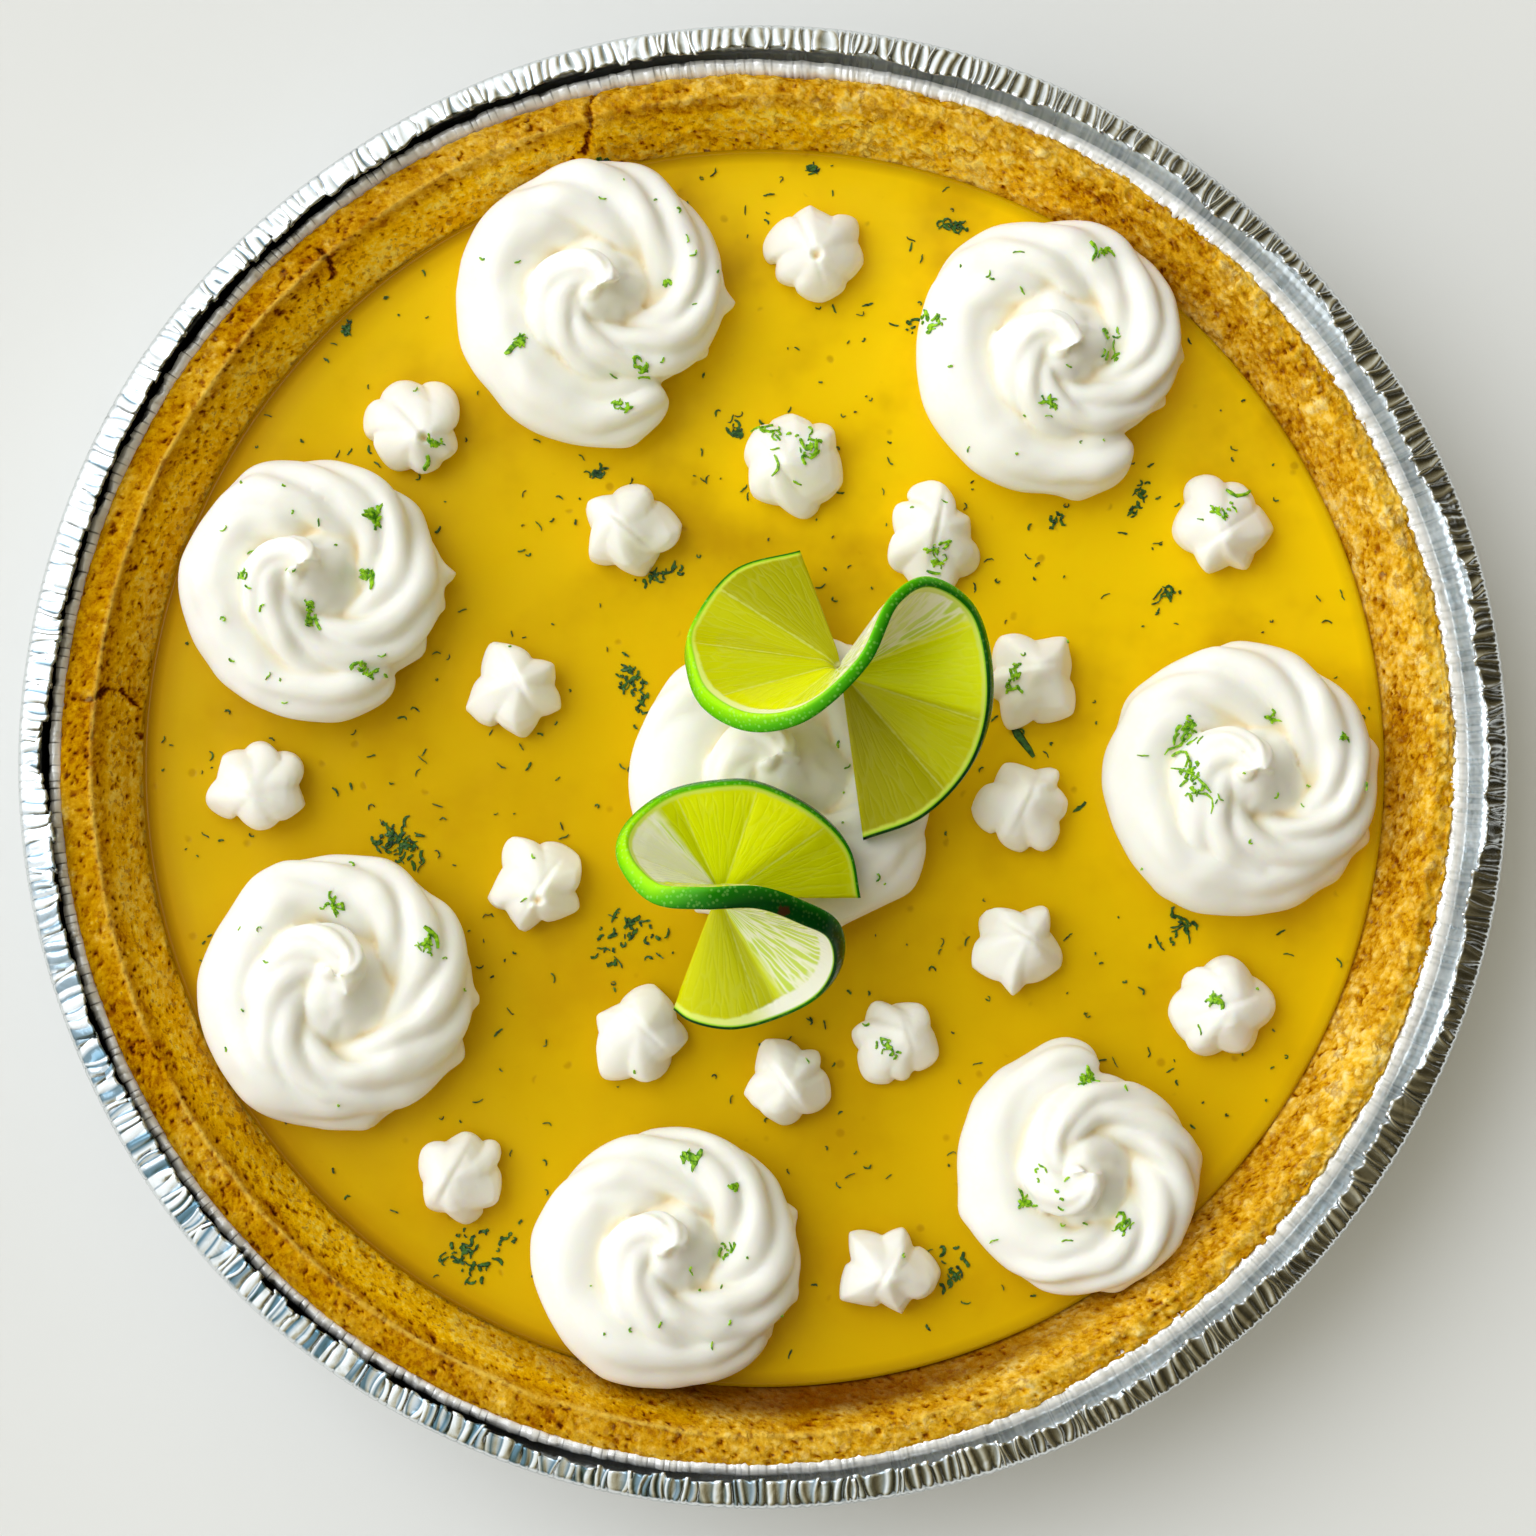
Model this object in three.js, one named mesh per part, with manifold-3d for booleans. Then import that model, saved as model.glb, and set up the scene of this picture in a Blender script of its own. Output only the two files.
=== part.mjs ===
// A key lime pie in its own foil tin: crumb crust, lime custard, piped cream
// swirls and stars, two lime twists in the middle and lime zest over it all.
// Millimetres, +Z up. The origin is the centre of the tin's base, at the
// surface that the tin stands on. +X is to the right and +Y to the far side.

import * as THREE from 'three';
import { mergeVertices } from 'three/addons/utils/BufferGeometryUtils.js';
import Module from 'manifold-3d';

const wasm = await Module();
wasm.setup();

// ------------------------------------------------------------------
// Driving dimensions
// ------------------------------------------------------------------

const GAP = 0.3; // air between two pieces that touch
const STEPS = 72; // divisions round the tin, the crust and the custard

const TIN = {
  radius: 120, // outer edge of the pleated lip
  baseRadius: 86,
  footWidth: 2.4, // the bend from the base up into the wall
  footHeight: 1.6,
  wallTop: 111.4, // where the sloping wall meets the ledge
  ledgeHeight: 28.2,
  ledgeOuter: 117.4,
  lipHeight: 33.2,
  lipInner: 115, // free edge of the lip, on average
  lipWander: 1.6, // the lip is wider on the left and narrower on the right
  lipWave: 0.25, // and its free edge waves a little
  foil: 0.6,
  slant: 0.7, // the foil's thickness measured level, where it slopes
  pleatDepth: 0.3, // one pleat to two steps
};

const CRUST = {
  floorTop: 6,
  floorRadius: 80, // flat part of the floor inside
  crestRadius: 107.8,
  crestHeight: 31.6,
  shoulderRadius: 112.8,
  innerRadius: 101.2, // where the custard meets it
  innerFloor: 83,
  corner: 0.8, // the floor's rise up to its inner corner
  grain: 0.5, // height of the crumb relief
  wallAir: 0.7, // keeps its flat facets off the tin's, beyond the gap
};

const CUSTARD_TOP = 22; // surface of the custard

// A piped swirl of size 1 is a rope that starts at a tail, runs round the
// outside, tucks in over its own tail and winds inwards to a peak.
const SWIRL = {
  height: 21,
  outerRadius: 22, // round the whole swirl
  ropeRadius: 6.9,
  ropeHeight: 5.6, // of the rope's middle line, on the outer turn
  turnRadius: 14.4,
  startTravel: 110, // degrees from the tail until the rope is at its full size
  tuckTravel: 155, // degrees from the start of the tuck to the end of the rope
  tuckRope: 4.6, // the rope's radius where it ends under the peak
  tuckHeight: 11.2,
  tuckRadius: 6.8,
  ropeStep: 32, // degrees
  lobes: 5,
  ridge: 1.07, // a ridge stands this far out and a valley this far in
  valley: 0.84,
  twist: 0.9, // turns of the ridges round the rope to a turn of the rope
  // the peak: radius and height from the custard up, turned on at each level
  peak: [[14.4, 0], [13, 6.4], [8.8, 12], [5.6, 16.4], [2.6, 19.2]],
  peakTurn: 24, // degrees
};

// x and y of the middle; tail is the direction of the tail in degrees; wind is 1
// where the rope runs clockwise; tuck is how many degrees it runs before it tucks
// in; reach is how far the tail sticks out; lean is where the peak stands.
const SWIRLS = [
  { x: -28.2, y: 75.6, tail: -66, wind: 1, tuck: 285, reach: 4, size: 1.02, lean: [3.1, -0.2] },
  { x: 45.8, y: 67.0, tail: -60, wind: 1, tuck: 285, reach: 4, size: 1.01, lean: [4.6, -2.7] },
  { x: -72.9, y: 27.6, tail: -56, wind: 1, tuck: 300, reach: 2.6, size: 0.98, lean: [-0.4, 2.0] },
  { x: 76.8, y: -4.0, tail: -28, wind: 1, tuck: 345, reach: 0.6, size: 1.03, lean: [0.3, 1.9] },
  { x: -68.9, y: -37.6, tail: -74, wind: 1, tuck: 345, reach: 1.6, size: 1.02, lean: [1.8, 3.0] },
  { x: -15.5, y: -80.3, tail: -44, wind: 1, tuck: 320, reach: 1.4, size: 0.98, lean: [1.2, 3.2] },
  { x: 50.0, y: -66.9, tail: 90, wind: -1, tuck: 285, reach: 3.8, size: 0.89, lean: [1.4, 0.5] },
];

const CENTRE = {
  x: 3.6, y: -4.2, tail: -24, wind: 1, tuck: 340, reach: 2, size: 1.14, lean: [-2, 4],
};
const CENTRE_PRESSED = 0.8; // the limes press the middle swirl down to this height

// A small star: x, y, turn in degrees, size
const STAR = {
  radius: 8.3,
  height: 9.5,
  lobes: 6,
  levels: [[0.86, 0], [1, 0.26], [0.66, 0.66]], // shares of the radius and of the height
  valley: 0.83,
  levelTurn: 6, // degrees
  tip: [0.5, 0.3],
};
const STARS = [
  { x: 8.7, y: 83.2, turn: 10, size: 1 },
  { x: -57.1, y: 54.1, turn: 25, size: 1.02 },
  { x: 74.6, y: 38.2, turn: 40, size: 1 },
  { x: -81.6, y: -4.5, turn: 5, size: 0.98 },
  { x: 73.5, y: -40.5, turn: 50, size: 1 },
  { x: -48.4, y: -67.0, turn: 15, size: 1 },
  { x: 19.8, y: -81.8, turn: 33, size: 1 },
  { x: 5.5, y: 48.0, turn: 20, size: 1 },
  { x: -21.9, y: 37.7, turn: 48, size: 1 },
  { x: 27.4, y: 35.7, turn: 0, size: 1.04 },
  { x: -39.9, y: 10.9, turn: 30, size: 1 },
  { x: 43.2, y: 12.8, turn: 12, size: 0.98 },
  { x: -37.7, y: -20.4, turn: 22, size: 1 },
  { x: 42.6, y: -7.9, turn: 35, size: 1 },
  { x: 40.7, y: -30.6, turn: 8, size: 0.98 },
  { x: -19.9, y: -44.6, turn: 44, size: 1 },
  { x: 3.9, y: -52.6, turn: 18, size: 1 },
  { x: 21.2, y: -46.2, turn: 28, size: 0.86 },
];

// A lime twist is a wheel cut once from rim to middle and turned into an S.
// Every ray from its middle stays straight, so the wheel is a cone over a
// curve of rays, each an azimuth and an elevation in degrees and its length.
const WHEEL = {
  thick: 4.4,
  steps: 24, // round the wheel
  middle: 1, // the slit's inner end is torn open this far
  full: 5, // out from here the wheel has its full thickness
  bevel: 0.7, // of the rim
};
const TWISTS = [
  {
    name: 'lime_twist_1',
    middle: [12.4, 12.8, 38.6],
    rays: [
      [109, -26, 24], [139, -16, 25], [166, -6, 25], [176, 10, 25.3], [187, 29, 25.4],
      [200, 50, 25.4], [212, 70, 25.4], [30, 86, 25.4], [55, 64, 25.4], [48, 36, 25.4],
      [22, 22, 25.2], [-8, 14, 25.2], [-34, 4, 25.4], [-60, -6, 25.8], [-82, -10, 26.4],
    ],
  },
  {
    name: 'lime_twist_2',
    middle: [-6.8, -22.6, 37.8],
    rays: [
      [-2, -6, 22.4], [22, -2, 21.8], [44, 4, 20.8], [72, 8, 20.3], [90, 10, 20],
      [114, 13, 20.2], [137, 19, 20.9], [150, 28, 21.4], [161, 42, 21.9], [176, 62, 22.2],
      [200, 80, 22.4], [-4, 74, 22.6], [-8, 56, 22.9], [-16, 36, 23.4], [-30, 20, 23],
      [-46, 8, 22.4], [-66, -4, 21.6], [-86, -10, 21.5], [-104, -14, 21], [-114, -16, 20.4],
    ],
  },
];

// Zest shreds large enough to show from a step away
const ZEST = {
  length: 4.4,
  width: 1.0,
  thick: 0.6, // above the surface that it lies on
  sunk: 0.6, // below that surface
  onCustard: 24,
  onSwirl: 2,
  apart: 9, // from one shred on the custard to the next
  clear: 4.2, // from a shred's middle to the next piece of cream
  seed: 27,
};

const COLOURS = {
  foil: [0xd9dde0, 0.28, 1.0],
  crust: [0xc48d2c, 0.95, 0.0],
  custard: [0xe3b600, 0.22, 0.0],
  cream: [0xf6f3e6, 0.5, 0.0],
  lime: [0xb9c81c, 0.35, 0.0],
};

// ------------------------------------------------------------------
// Helpers
// ------------------------------------------------------------------

const RAD = Math.PI / 180;

// Repeatable random numbers from 0 to 1
function seededRandom(seed) {
  let state = seed;
  return () => {
    state = (state * 1664525 + 1013904223) % 4294967296;
    return state / 4294967296;
  };
}

function mix(a, b, t) {
  return a + (b - a) * t;
}

function smooth(t) {
  const u = Math.min(1, Math.max(0, t));
  return u * u * (3 - 2 * u);
}

// Volume inside a closed geometry, negative where its faces point inwards
function signedVolume(positions, index) {
  const a = new THREE.Vector3();
  const b = new THREE.Vector3();
  const c = new THREE.Vector3();
  let sum = 0;
  for (let i = 0; i < index.length; i += 3) {
    a.fromArray(positions, index[i] * 3);
    b.fromArray(positions, index[i + 1] * 3);
    c.fromArray(positions, index[i + 2] * 3);
    sum += a.dot(b.cross(c)) / 6;
  }
  return sum;
}

// Closed geometry from points and triangles, with its faces turned outwards
function closedGeometry(points, index) {
  const positions = points.flatMap((p) => [p.x, p.y, p.z]);
  if (signedVolume(positions, index) < 0) index.reverse();
  const geometry = new THREE.BufferGeometry();
  geometry.setAttribute('position', new THREE.Float32BufferAttribute(positions, 3));
  geometry.setIndex(index);
  return geometry;
}

// A skin over rings of equal count. Each end closes on one point, or on the
// middle of the ring where no point is given.
function skin(rings, firstPoint, lastPoint) {
  const count = rings[0].length;
  const points = rings.flat();
  const index = [];
  for (let ring = 0; ring + 1 < rings.length; ring += 1) {
    for (let i = 0; i < count; i += 1) {
      const a = ring * count + i;
      const b = ring * count + ((i + 1) % count);
      index.push(a, b, a + count, b, b + count, a + count);
    }
  }
  const middle = (ring) => ring
    .reduce((sum, p) => sum.add(p), new THREE.Vector3())
    .divideScalar(count);
  const first = points.push(firstPoint ?? middle(rings[0])) - 1;
  const last = points.push(lastPoint ?? middle(rings.at(-1))) - 1;
  const top = (rings.length - 1) * count;
  for (let i = 0; i < count; i += 1) {
    const next = (i + 1) % count;
    index.push(first, next, i);
    index.push(last, top + i, top + next);
  }
  return closedGeometry(points, index);
}

// A ring round the Z axis; radiusAt and heightAt give its form by angle
function ringRound(radiusAt, heightAt) {
  return Array.from({ length: STEPS }, (unused, i) => {
    const angle = (i / STEPS) * 2 * Math.PI;
    const radius = radiusAt(angle, i);
    return new THREE.Vector3(
      radius * Math.cos(angle),
      radius * Math.sin(angle),
      heightAt(angle, i),
    );
  });
}

function toSolid(geometry) {
  const bare = geometry.clone();
  bare.deleteAttribute('normal');
  bare.deleteAttribute('uv');
  const merged = mergeVertices(bare, 1e-4);
  return new wasm.Manifold(new wasm.Mesh({
    numProp: 3,
    vertProperties: new Float32Array(merged.attributes.position.array),
    triVerts: new Uint32Array(merged.index.array),
  }));
}

function fromSolid(solid) {
  const mesh = solid.getMesh();
  const geometry = new THREE.BufferGeometry();
  geometry.setAttribute('position', new THREE.BufferAttribute(mesh.vertProperties, 3));
  geometry.setIndex(new THREE.BufferAttribute(mesh.triVerts, 1));
  return geometry;
}

const pie = new THREE.Group();

function addPiece(name, geometry, [color, roughness, metalness], x = 0, y = 0, z = 0) {
  geometry.computeVertexNormals();
  const material = new THREE.MeshStandardMaterial({ color, roughness, metalness });
  const mesh = new THREE.Mesh(geometry, material);
  mesh.name = name;
  mesh.position.set(x, y, z);
  pie.add(mesh);
  return mesh;
}

// ------------------------------------------------------------------
// Foil tin
// ------------------------------------------------------------------

// The free edge of the lip wanders: wide on the left, narrow on the right.
function lipInnerRadius(angle) {
  return TIN.lipInner + TIN.lipWander * Math.cos(angle) + TIN.lipWave * Math.sin(5 * angle);
}

function tinGeometry() {
  const { foil, slant, baseRadius, footWidth, footHeight, ledgeHeight, lipHeight } = TIN;
  const pleat = (i) => (i % 2 === 0 ? 1 : -1) * TIN.pleatDepth;
  const ring = (radius, height, share = 0) => ringRound(
    (angle, i) => radius + share * pleat(i),
    () => height,
  );
  const lipEdge = (height) => ringRound(
    (angle, i) => lipInnerRadius(angle) + pleat(i),
    (angle, i) => height + 0.5 * pleat(i),
  );
  const outside = [
    ring(baseRadius, 0),
    ring(baseRadius + footWidth, footHeight),
    ring(TIN.wallTop, ledgeHeight - foil, 0.5),
    ring(TIN.ledgeOuter, ledgeHeight - foil, 0.5),
    ring(TIN.radius - 0.4, lipHeight - 1.6, 1),
    ring(TIN.radius - 1, lipHeight - 0.2, 1),
    lipEdge(lipHeight + 0.1),
  ];
  const inside = [
    lipEdge(lipHeight - foil),
    ring(TIN.radius - 1.5, lipHeight - foil - 0.4, 1),
    ring(TIN.ledgeOuter - slant, ledgeHeight, 0.5),
    ring(TIN.wallTop - slant, ledgeHeight, 0.5),
    ring(baseRadius + footWidth - slant, footHeight + foil),
    ring(baseRadius - foil, foil),
  ];
  return skin(
    [...outside, ...inside],
    new THREE.Vector3(0, 0, 0),
    new THREE.Vector3(0, 0, foil),
  );
}

// ------------------------------------------------------------------
// Crumb crust
// ------------------------------------------------------------------

// Uneven crumb, rougher on the right, from a few waves that don't repeat
function crumb(angle, row) {
  const rough = 1 + 0.9 * Math.max(0, Math.cos(angle - 0.6));
  const wave = Math.sin(31 * angle + 2.1 * row) + Math.sin(47 * angle - 3.4 * row)
    + 0.8 * Math.sin(12 * angle + 1.3 * row);
  return (CRUST.grain * rough * wave) / 2.8;
}

function crustGeometry() {
  const { shoulderRadius, crestRadius, crestHeight, innerRadius } = CRUST;
  const level = GAP + CRUST.wallAir;
  const wallFoot = TIN.baseRadius + TIN.footWidth - TIN.slant - level;
  const wallTop = TIN.wallTop - TIN.slant - level;
  const rest = TIN.ledgeHeight + GAP + 0.2;
  // radius, height and share of the crumb relief
  const profile = [
    [TIN.baseRadius - 1.2, TIN.foil + GAP, 0],
    [wallFoot, TIN.footHeight + TIN.foil + 2 * GAP, 0],
    [wallTop, rest - 0.6, 0],
    [wallTop + 1.2, rest, 0],
    [shoulderRadius, rest, 0],
    [shoulderRadius + 0.2, rest + 1.4, 0.3],
    [mix(crestRadius, shoulderRadius, 0.55), crestHeight - 0.5, 1],
    [crestRadius, crestHeight, 0.8],
    [mix(innerRadius, crestRadius, 0.55), mix(CUSTARD_TOP, crestHeight, 0.62), 1],
    [innerRadius + 0.9, CUSTARD_TOP + 1.6, 0.4],
    [innerRadius, CUSTARD_TOP, 0],
    [CRUST.innerFloor, CRUST.floorTop + CRUST.corner, 0],
    [CRUST.floorRadius, CRUST.floorTop, 0],
  ];
  const rings = profile.map(([radius, height, share], row) => ringRound(
    (angle) => radius + 0.5 * share * crumb(angle, row + 7),
    (angle) => height + share * crumb(angle, row),
  ));
  return skin(
    rings,
    new THREE.Vector3(0, 0, TIN.foil + GAP),
    new THREE.Vector3(0, 0, CRUST.floorTop),
  );
}

// ------------------------------------------------------------------
// Custard
// ------------------------------------------------------------------

function custardGeometry() {
  const bottom = CRUST.floorTop + GAP;
  const ring = (radius, height) => ringRound(() => radius, () => height);
  const rings = [
    ring(CRUST.floorRadius - GAP, bottom),
    ring(CRUST.innerFloor - 2 * GAP, bottom + CRUST.corner),
    ring(CRUST.innerRadius - 3 * GAP, CUSTARD_TOP - 0.4),
    ring(CRUST.innerRadius - 3 * GAP - 0.4, CUSTARD_TOP),
  ];
  return skin(
    rings,
    new THREE.Vector3(0, 0, bottom),
    new THREE.Vector3(0, 0, CUSTARD_TOP),
  );
}

// ------------------------------------------------------------------
// Piped cream
// ------------------------------------------------------------------

// Middle line and thickness of a swirl's rope after it has run `travel` degrees
function ropeAt({ tuck, reach }, travel) {
  const tucked = smooth((travel - tuck) / SWIRL.tuckTravel);
  const started = smooth(travel / SWIRL.startTravel);
  return {
    radius: mix(SWIRL.turnRadius + reach * (1 - started), SWIRL.tuckRadius, tucked),
    height: mix(SWIRL.ropeHeight, SWIRL.tuckHeight, tucked),
    thick: mix(SWIRL.ropeRadius * mix(0.86, 1, started), SWIRL.tuckRope, tucked),
  };
}

// One stretch of the rope: a star section carried along its middle line
function ropeStretch(swirl, from, to) {
  const steps = Math.round((to - from) / SWIRL.ropeStep);
  const corners = SWIRL.lobes * 2;
  const rings = [];
  for (let i = 0; i <= steps; i += 1) {
    const travel = mix(from, to, i / steps);
    const { radius, height, thick } = ropeAt(swirl, travel);
    const angle = (swirl.tail - swirl.wind * travel) * RAD;
    const out = new THREE.Vector3(Math.cos(angle), Math.sin(angle), 0);
    rings.push(Array.from({ length: corners }, (unused, k) => {
      const round = (k / corners) * 2 * Math.PI + SWIRL.twist * travel * RAD;
      const spread = thick * (k % 2 === 0 ? SWIRL.ridge : SWIRL.valley);
      return out.clone().multiplyScalar(radius + spread * Math.cos(round))
        .setZ(height + spread * Math.sin(round));
    }));
  }
  return skin(rings);
}

// The peak: a cone of ridges that lean the way the rope winds
function peakGeometry({ tail, wind, lean: [leanX, leanY] }) {
  const corners = SWIRL.lobes * 2;
  const rings = SWIRL.peak.map(([radius, height], level) => Array.from(
    { length: corners },
    (unused, k) => {
      const reach = radius * (k % 2 === 0 ? SWIRL.ridge : SWIRL.valley);
      const turned = (wind * level * SWIRL.peakTurn - tail) * RAD;
      const round = (k / corners) * 2 * Math.PI - turned;
      const share = (height / SWIRL.height) ** 2;
      return new THREE.Vector3(
        reach * Math.cos(round) + leanX * share,
        reach * Math.sin(round) + leanY * share,
        height,
      );
    },
  ));
  return skin(rings, undefined, new THREE.Vector3(leanX, leanY, SWIRL.height));
}

// A whole swirl, standing on z = 0
function swirlGeometry(swirl) {
  const third = (swirl.tuck + SWIRL.tuckTravel) / 3;
  const rope = [0, 1, 2].map((k) => toSolid(ropeStretch(swirl, k * third, (k + 1) * third)));
  const width = 4 * SWIRL.outerRadius;
  const depth = 2 * SWIRL.ropeRadius;
  const under = new THREE.BoxGeometry(width, width, depth).translate(0, 0, -depth / 2);
  const solid = rope[0].add(rope[1]).add(rope[2])
    .add(toSolid(peakGeometry(swirl)))
    .subtract(toSolid(under));
  return fromSolid(solid).scale(swirl.size, swirl.size, swirl.size);
}

// A small star: pressed straight down and pulled up to a point
function starGeometry({ turn, size }) {
  const corners = STAR.lobes * 2;
  const rings = STAR.levels.map(([share, height], level) => Array.from(
    { length: corners },
    (unused, k) => {
      const reach = STAR.radius * size * share * (k % 2 === 0 ? 1 : STAR.valley);
      const round = (k / corners) * 2 * Math.PI + (turn - level * STAR.levelTurn) * RAD;
      return new THREE.Vector3(
        reach * Math.cos(round),
        reach * Math.sin(round),
        STAR.height * size * height,
      );
    },
  ));
  return skin(rings, undefined, new THREE.Vector3(...STAR.tip, STAR.height * size));
}

// ------------------------------------------------------------------
// Lime twists
// ------------------------------------------------------------------

// The end of a ray given by azimuth, elevation and length
function rayEnd([azimuth, elevation, length]) {
  return new THREE.Vector3(
    Math.cos(elevation * RAD) * Math.cos(azimuth * RAD),
    Math.cos(elevation * RAD) * Math.sin(azimuth * RAD),
    Math.sin(elevation * RAD),
  ).multiplyScalar(length);
}

// A slit wheel, grown by `grow` on every side. Both faces and the rim share
// one set of rays, so the wheel keeps its thickness all the way round.
function wheelGeometry({ rays }, grow = 0) {
  const rim = new THREE.CatmullRomCurve3(rays.map(rayEnd), false, 'centripetal')
    .getSpacedPoints(WHEEL.steps);
  const rings = rim.map((end, i) => {
    const ray = end.clone().normalize();
    const outer = end.length() + grow;
    const before = rim[Math.max(0, i - 1)];
    const after = rim[Math.min(WHEEL.steps, i + 1)];
    const along = after.clone().sub(before).normalize();
    const normal = ray.clone().cross(along).normalize();
    const ends = { 0: -grow, [WHEEL.steps]: grow };
    const corner = (side, reach, half) => ray.clone()
      .multiplyScalar(reach)
      .addScaledVector(normal, side * (half + grow))
      .addScaledVector(along, ends[i] ?? 0);
    const half = WHEEL.thick / 2;
    const face = (side) => [
      corner(side, WHEEL.middle, WHEEL.middle / 2),
      corner(side, WHEEL.full, half),
      corner(side, outer - WHEEL.bevel, half),
      corner(side, outer, half - WHEEL.bevel),
    ];
    return [...face(1), ...face(-1).reverse()];
  });
  return skin(rings);
}

// ------------------------------------------------------------------
// Zest
// ------------------------------------------------------------------

// A curled shred lying along X, its underside sunk below z = 0
function zestGeometry(random) {
  const length = ZEST.length * mix(0.6, 1.25, random());
  const bend = mix(-1.3, 1.3, random());
  const arch = mix(0, 0.4, random());
  const rings = [-0.5, -0.2, 0.2, 0.5].map((s) => {
    const hump = 1 - 4 * s * s;
    const wide = (ZEST.width / 2) * (Math.abs(s) > 0.4 ? 0.6 : 1);
    const top = ZEST.thick + arch * hump;
    return [[-wide, -ZEST.sunk], [wide, -ZEST.sunk], [wide, top], [-wide, top]]
      .map(([y, z]) => new THREE.Vector3(s * length, bend * hump + y, z));
  });
  return skin(rings);
}

// True where a shred's middle stays clear of every piece of cream
function clearOfCream(x, y) {
  const far = (piece, reach) => Math.hypot(x - piece.x, y - piece.y) > reach + ZEST.clear;
  return [...SWIRLS, CENTRE].every((s) => far(s, SWIRL.outerRadius * s.size + 1))
    && STARS.every((s) => far(s, STAR.radius * s.size));
}

// Shreds spread over the custard and half sunk in it
function zestOnCustard(solid, random) {
  let result = solid;
  const placed = [];
  while (placed.length < ZEST.onCustard) {
    const reach = (CRUST.innerRadius - 6) * Math.sqrt(random());
    const angle = random() * 2 * Math.PI;
    const x = reach * Math.cos(angle);
    const y = reach * Math.sin(angle);
    const free = placed.every(([px, py]) => Math.hypot(px - x, py - y) > ZEST.apart);
    if (clearOfCream(x, y) && free) {
      placed.push([x, y]);
      const shred = zestGeometry(random)
        .rotateZ(random() * 2 * Math.PI)
        .translate(x, y, CUSTARD_TOP);
      result = result.add(toSolid(shred));
    }
  }
  return result;
}

// Shreds on a piece of cream, each laid on the slope right under it
function zestOnCream(solid, { size }, random) {
  const ray = new THREE.Raycaster();
  const down = new THREE.Vector3(0, 0, -1);
  const body = new THREE.Mesh(fromSolid(solid), new THREE.MeshBasicMaterial());
  let result = solid;
  for (let i = 0; i < ZEST.onSwirl; i += 1) {
    const reach = SWIRL.outerRadius * size * mix(0.25, 0.75, random());
    const angle = ((i + 0.8 * random()) / ZEST.onSwirl) * 2 * Math.PI;
    const [x, y] = [reach * Math.cos(angle), reach * Math.sin(angle)];
    ray.set(new THREE.Vector3(x, y, 2 * SWIRL.height), down);
    const [hit] = ray.intersectObject(body);
    if (!hit) continue;
    const lean = new THREE.Quaternion()
      .setFromUnitVectors(new THREE.Vector3(0, 0, 1), hit.face.normal);
    const shred = zestGeometry(random)
      .rotateZ(random() * 2 * Math.PI)
      .applyQuaternion(lean)
      .translate(hit.point.x, hit.point.y, hit.point.z);
    result = result.add(toSolid(shred));
  }
  return result;
}

// ------------------------------------------------------------------
// The pie
// ------------------------------------------------------------------

const creamBase = CUSTARD_TOP + GAP;
const random = seededRandom(ZEST.seed);

addPiece('pie_tin', tinGeometry(), COLOURS.foil);
addPiece('crumb_crust', crustGeometry(), COLOURS.crust);
addPiece(
  'lime_filling',
  fromSolid(zestOnCustard(toSolid(custardGeometry()), random)),
  COLOURS.custard,
);

SWIRLS.forEach((swirl, i) => {
  const body = toSolid(swirlGeometry(swirl));
  const geometry = fromSolid(zestOnCream(body, swirl, random));
  addPiece(`cream_swirl_${i + 1}`, geometry, COLOURS.cream, swirl.x, swirl.y, creamBase);
});

// The middle swirl is pressed flat and cut by the two wheels that stand in it.
const wheels = TWISTS.map((twist) => {
  const [x, y, z] = twist.middle;
  addPiece(twist.name, wheelGeometry(twist), COLOURS.lime, x, y, z);
  return toSolid(wheelGeometry(twist, GAP).translate(x - CENTRE.x, y - CENTRE.y, z - creamBase));
});
const mound = toSolid(swirlGeometry(CENTRE).scale(1, 1, CENTRE_PRESSED));
addPiece(
  'cream_centre',
  fromSolid(zestOnCream(mound.subtract(wheels[0]).subtract(wheels[1]), CENTRE, random)),
  COLOURS.cream,
  CENTRE.x,
  CENTRE.y,
  creamBase,
);

STARS.forEach((star, i) => {
  addPiece(`cream_star_${i + 1}`, starGeometry(star), COLOURS.cream, star.x, star.y, creamBase);
});

export default pie;
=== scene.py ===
# %% [markdown]
# # A key lime pie in its foil tin
#
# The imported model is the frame: it holds every piece at its real size. This
# script gives each piece its looks. Blender works in metres, and food is easier
# to think of in millimetres, so shapes are made in mm and scaled once.

# %% Load the frame
import math

import bpy
import numpy as np
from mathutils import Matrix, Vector
from mathutils.bvhtree import BVHTree


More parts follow.
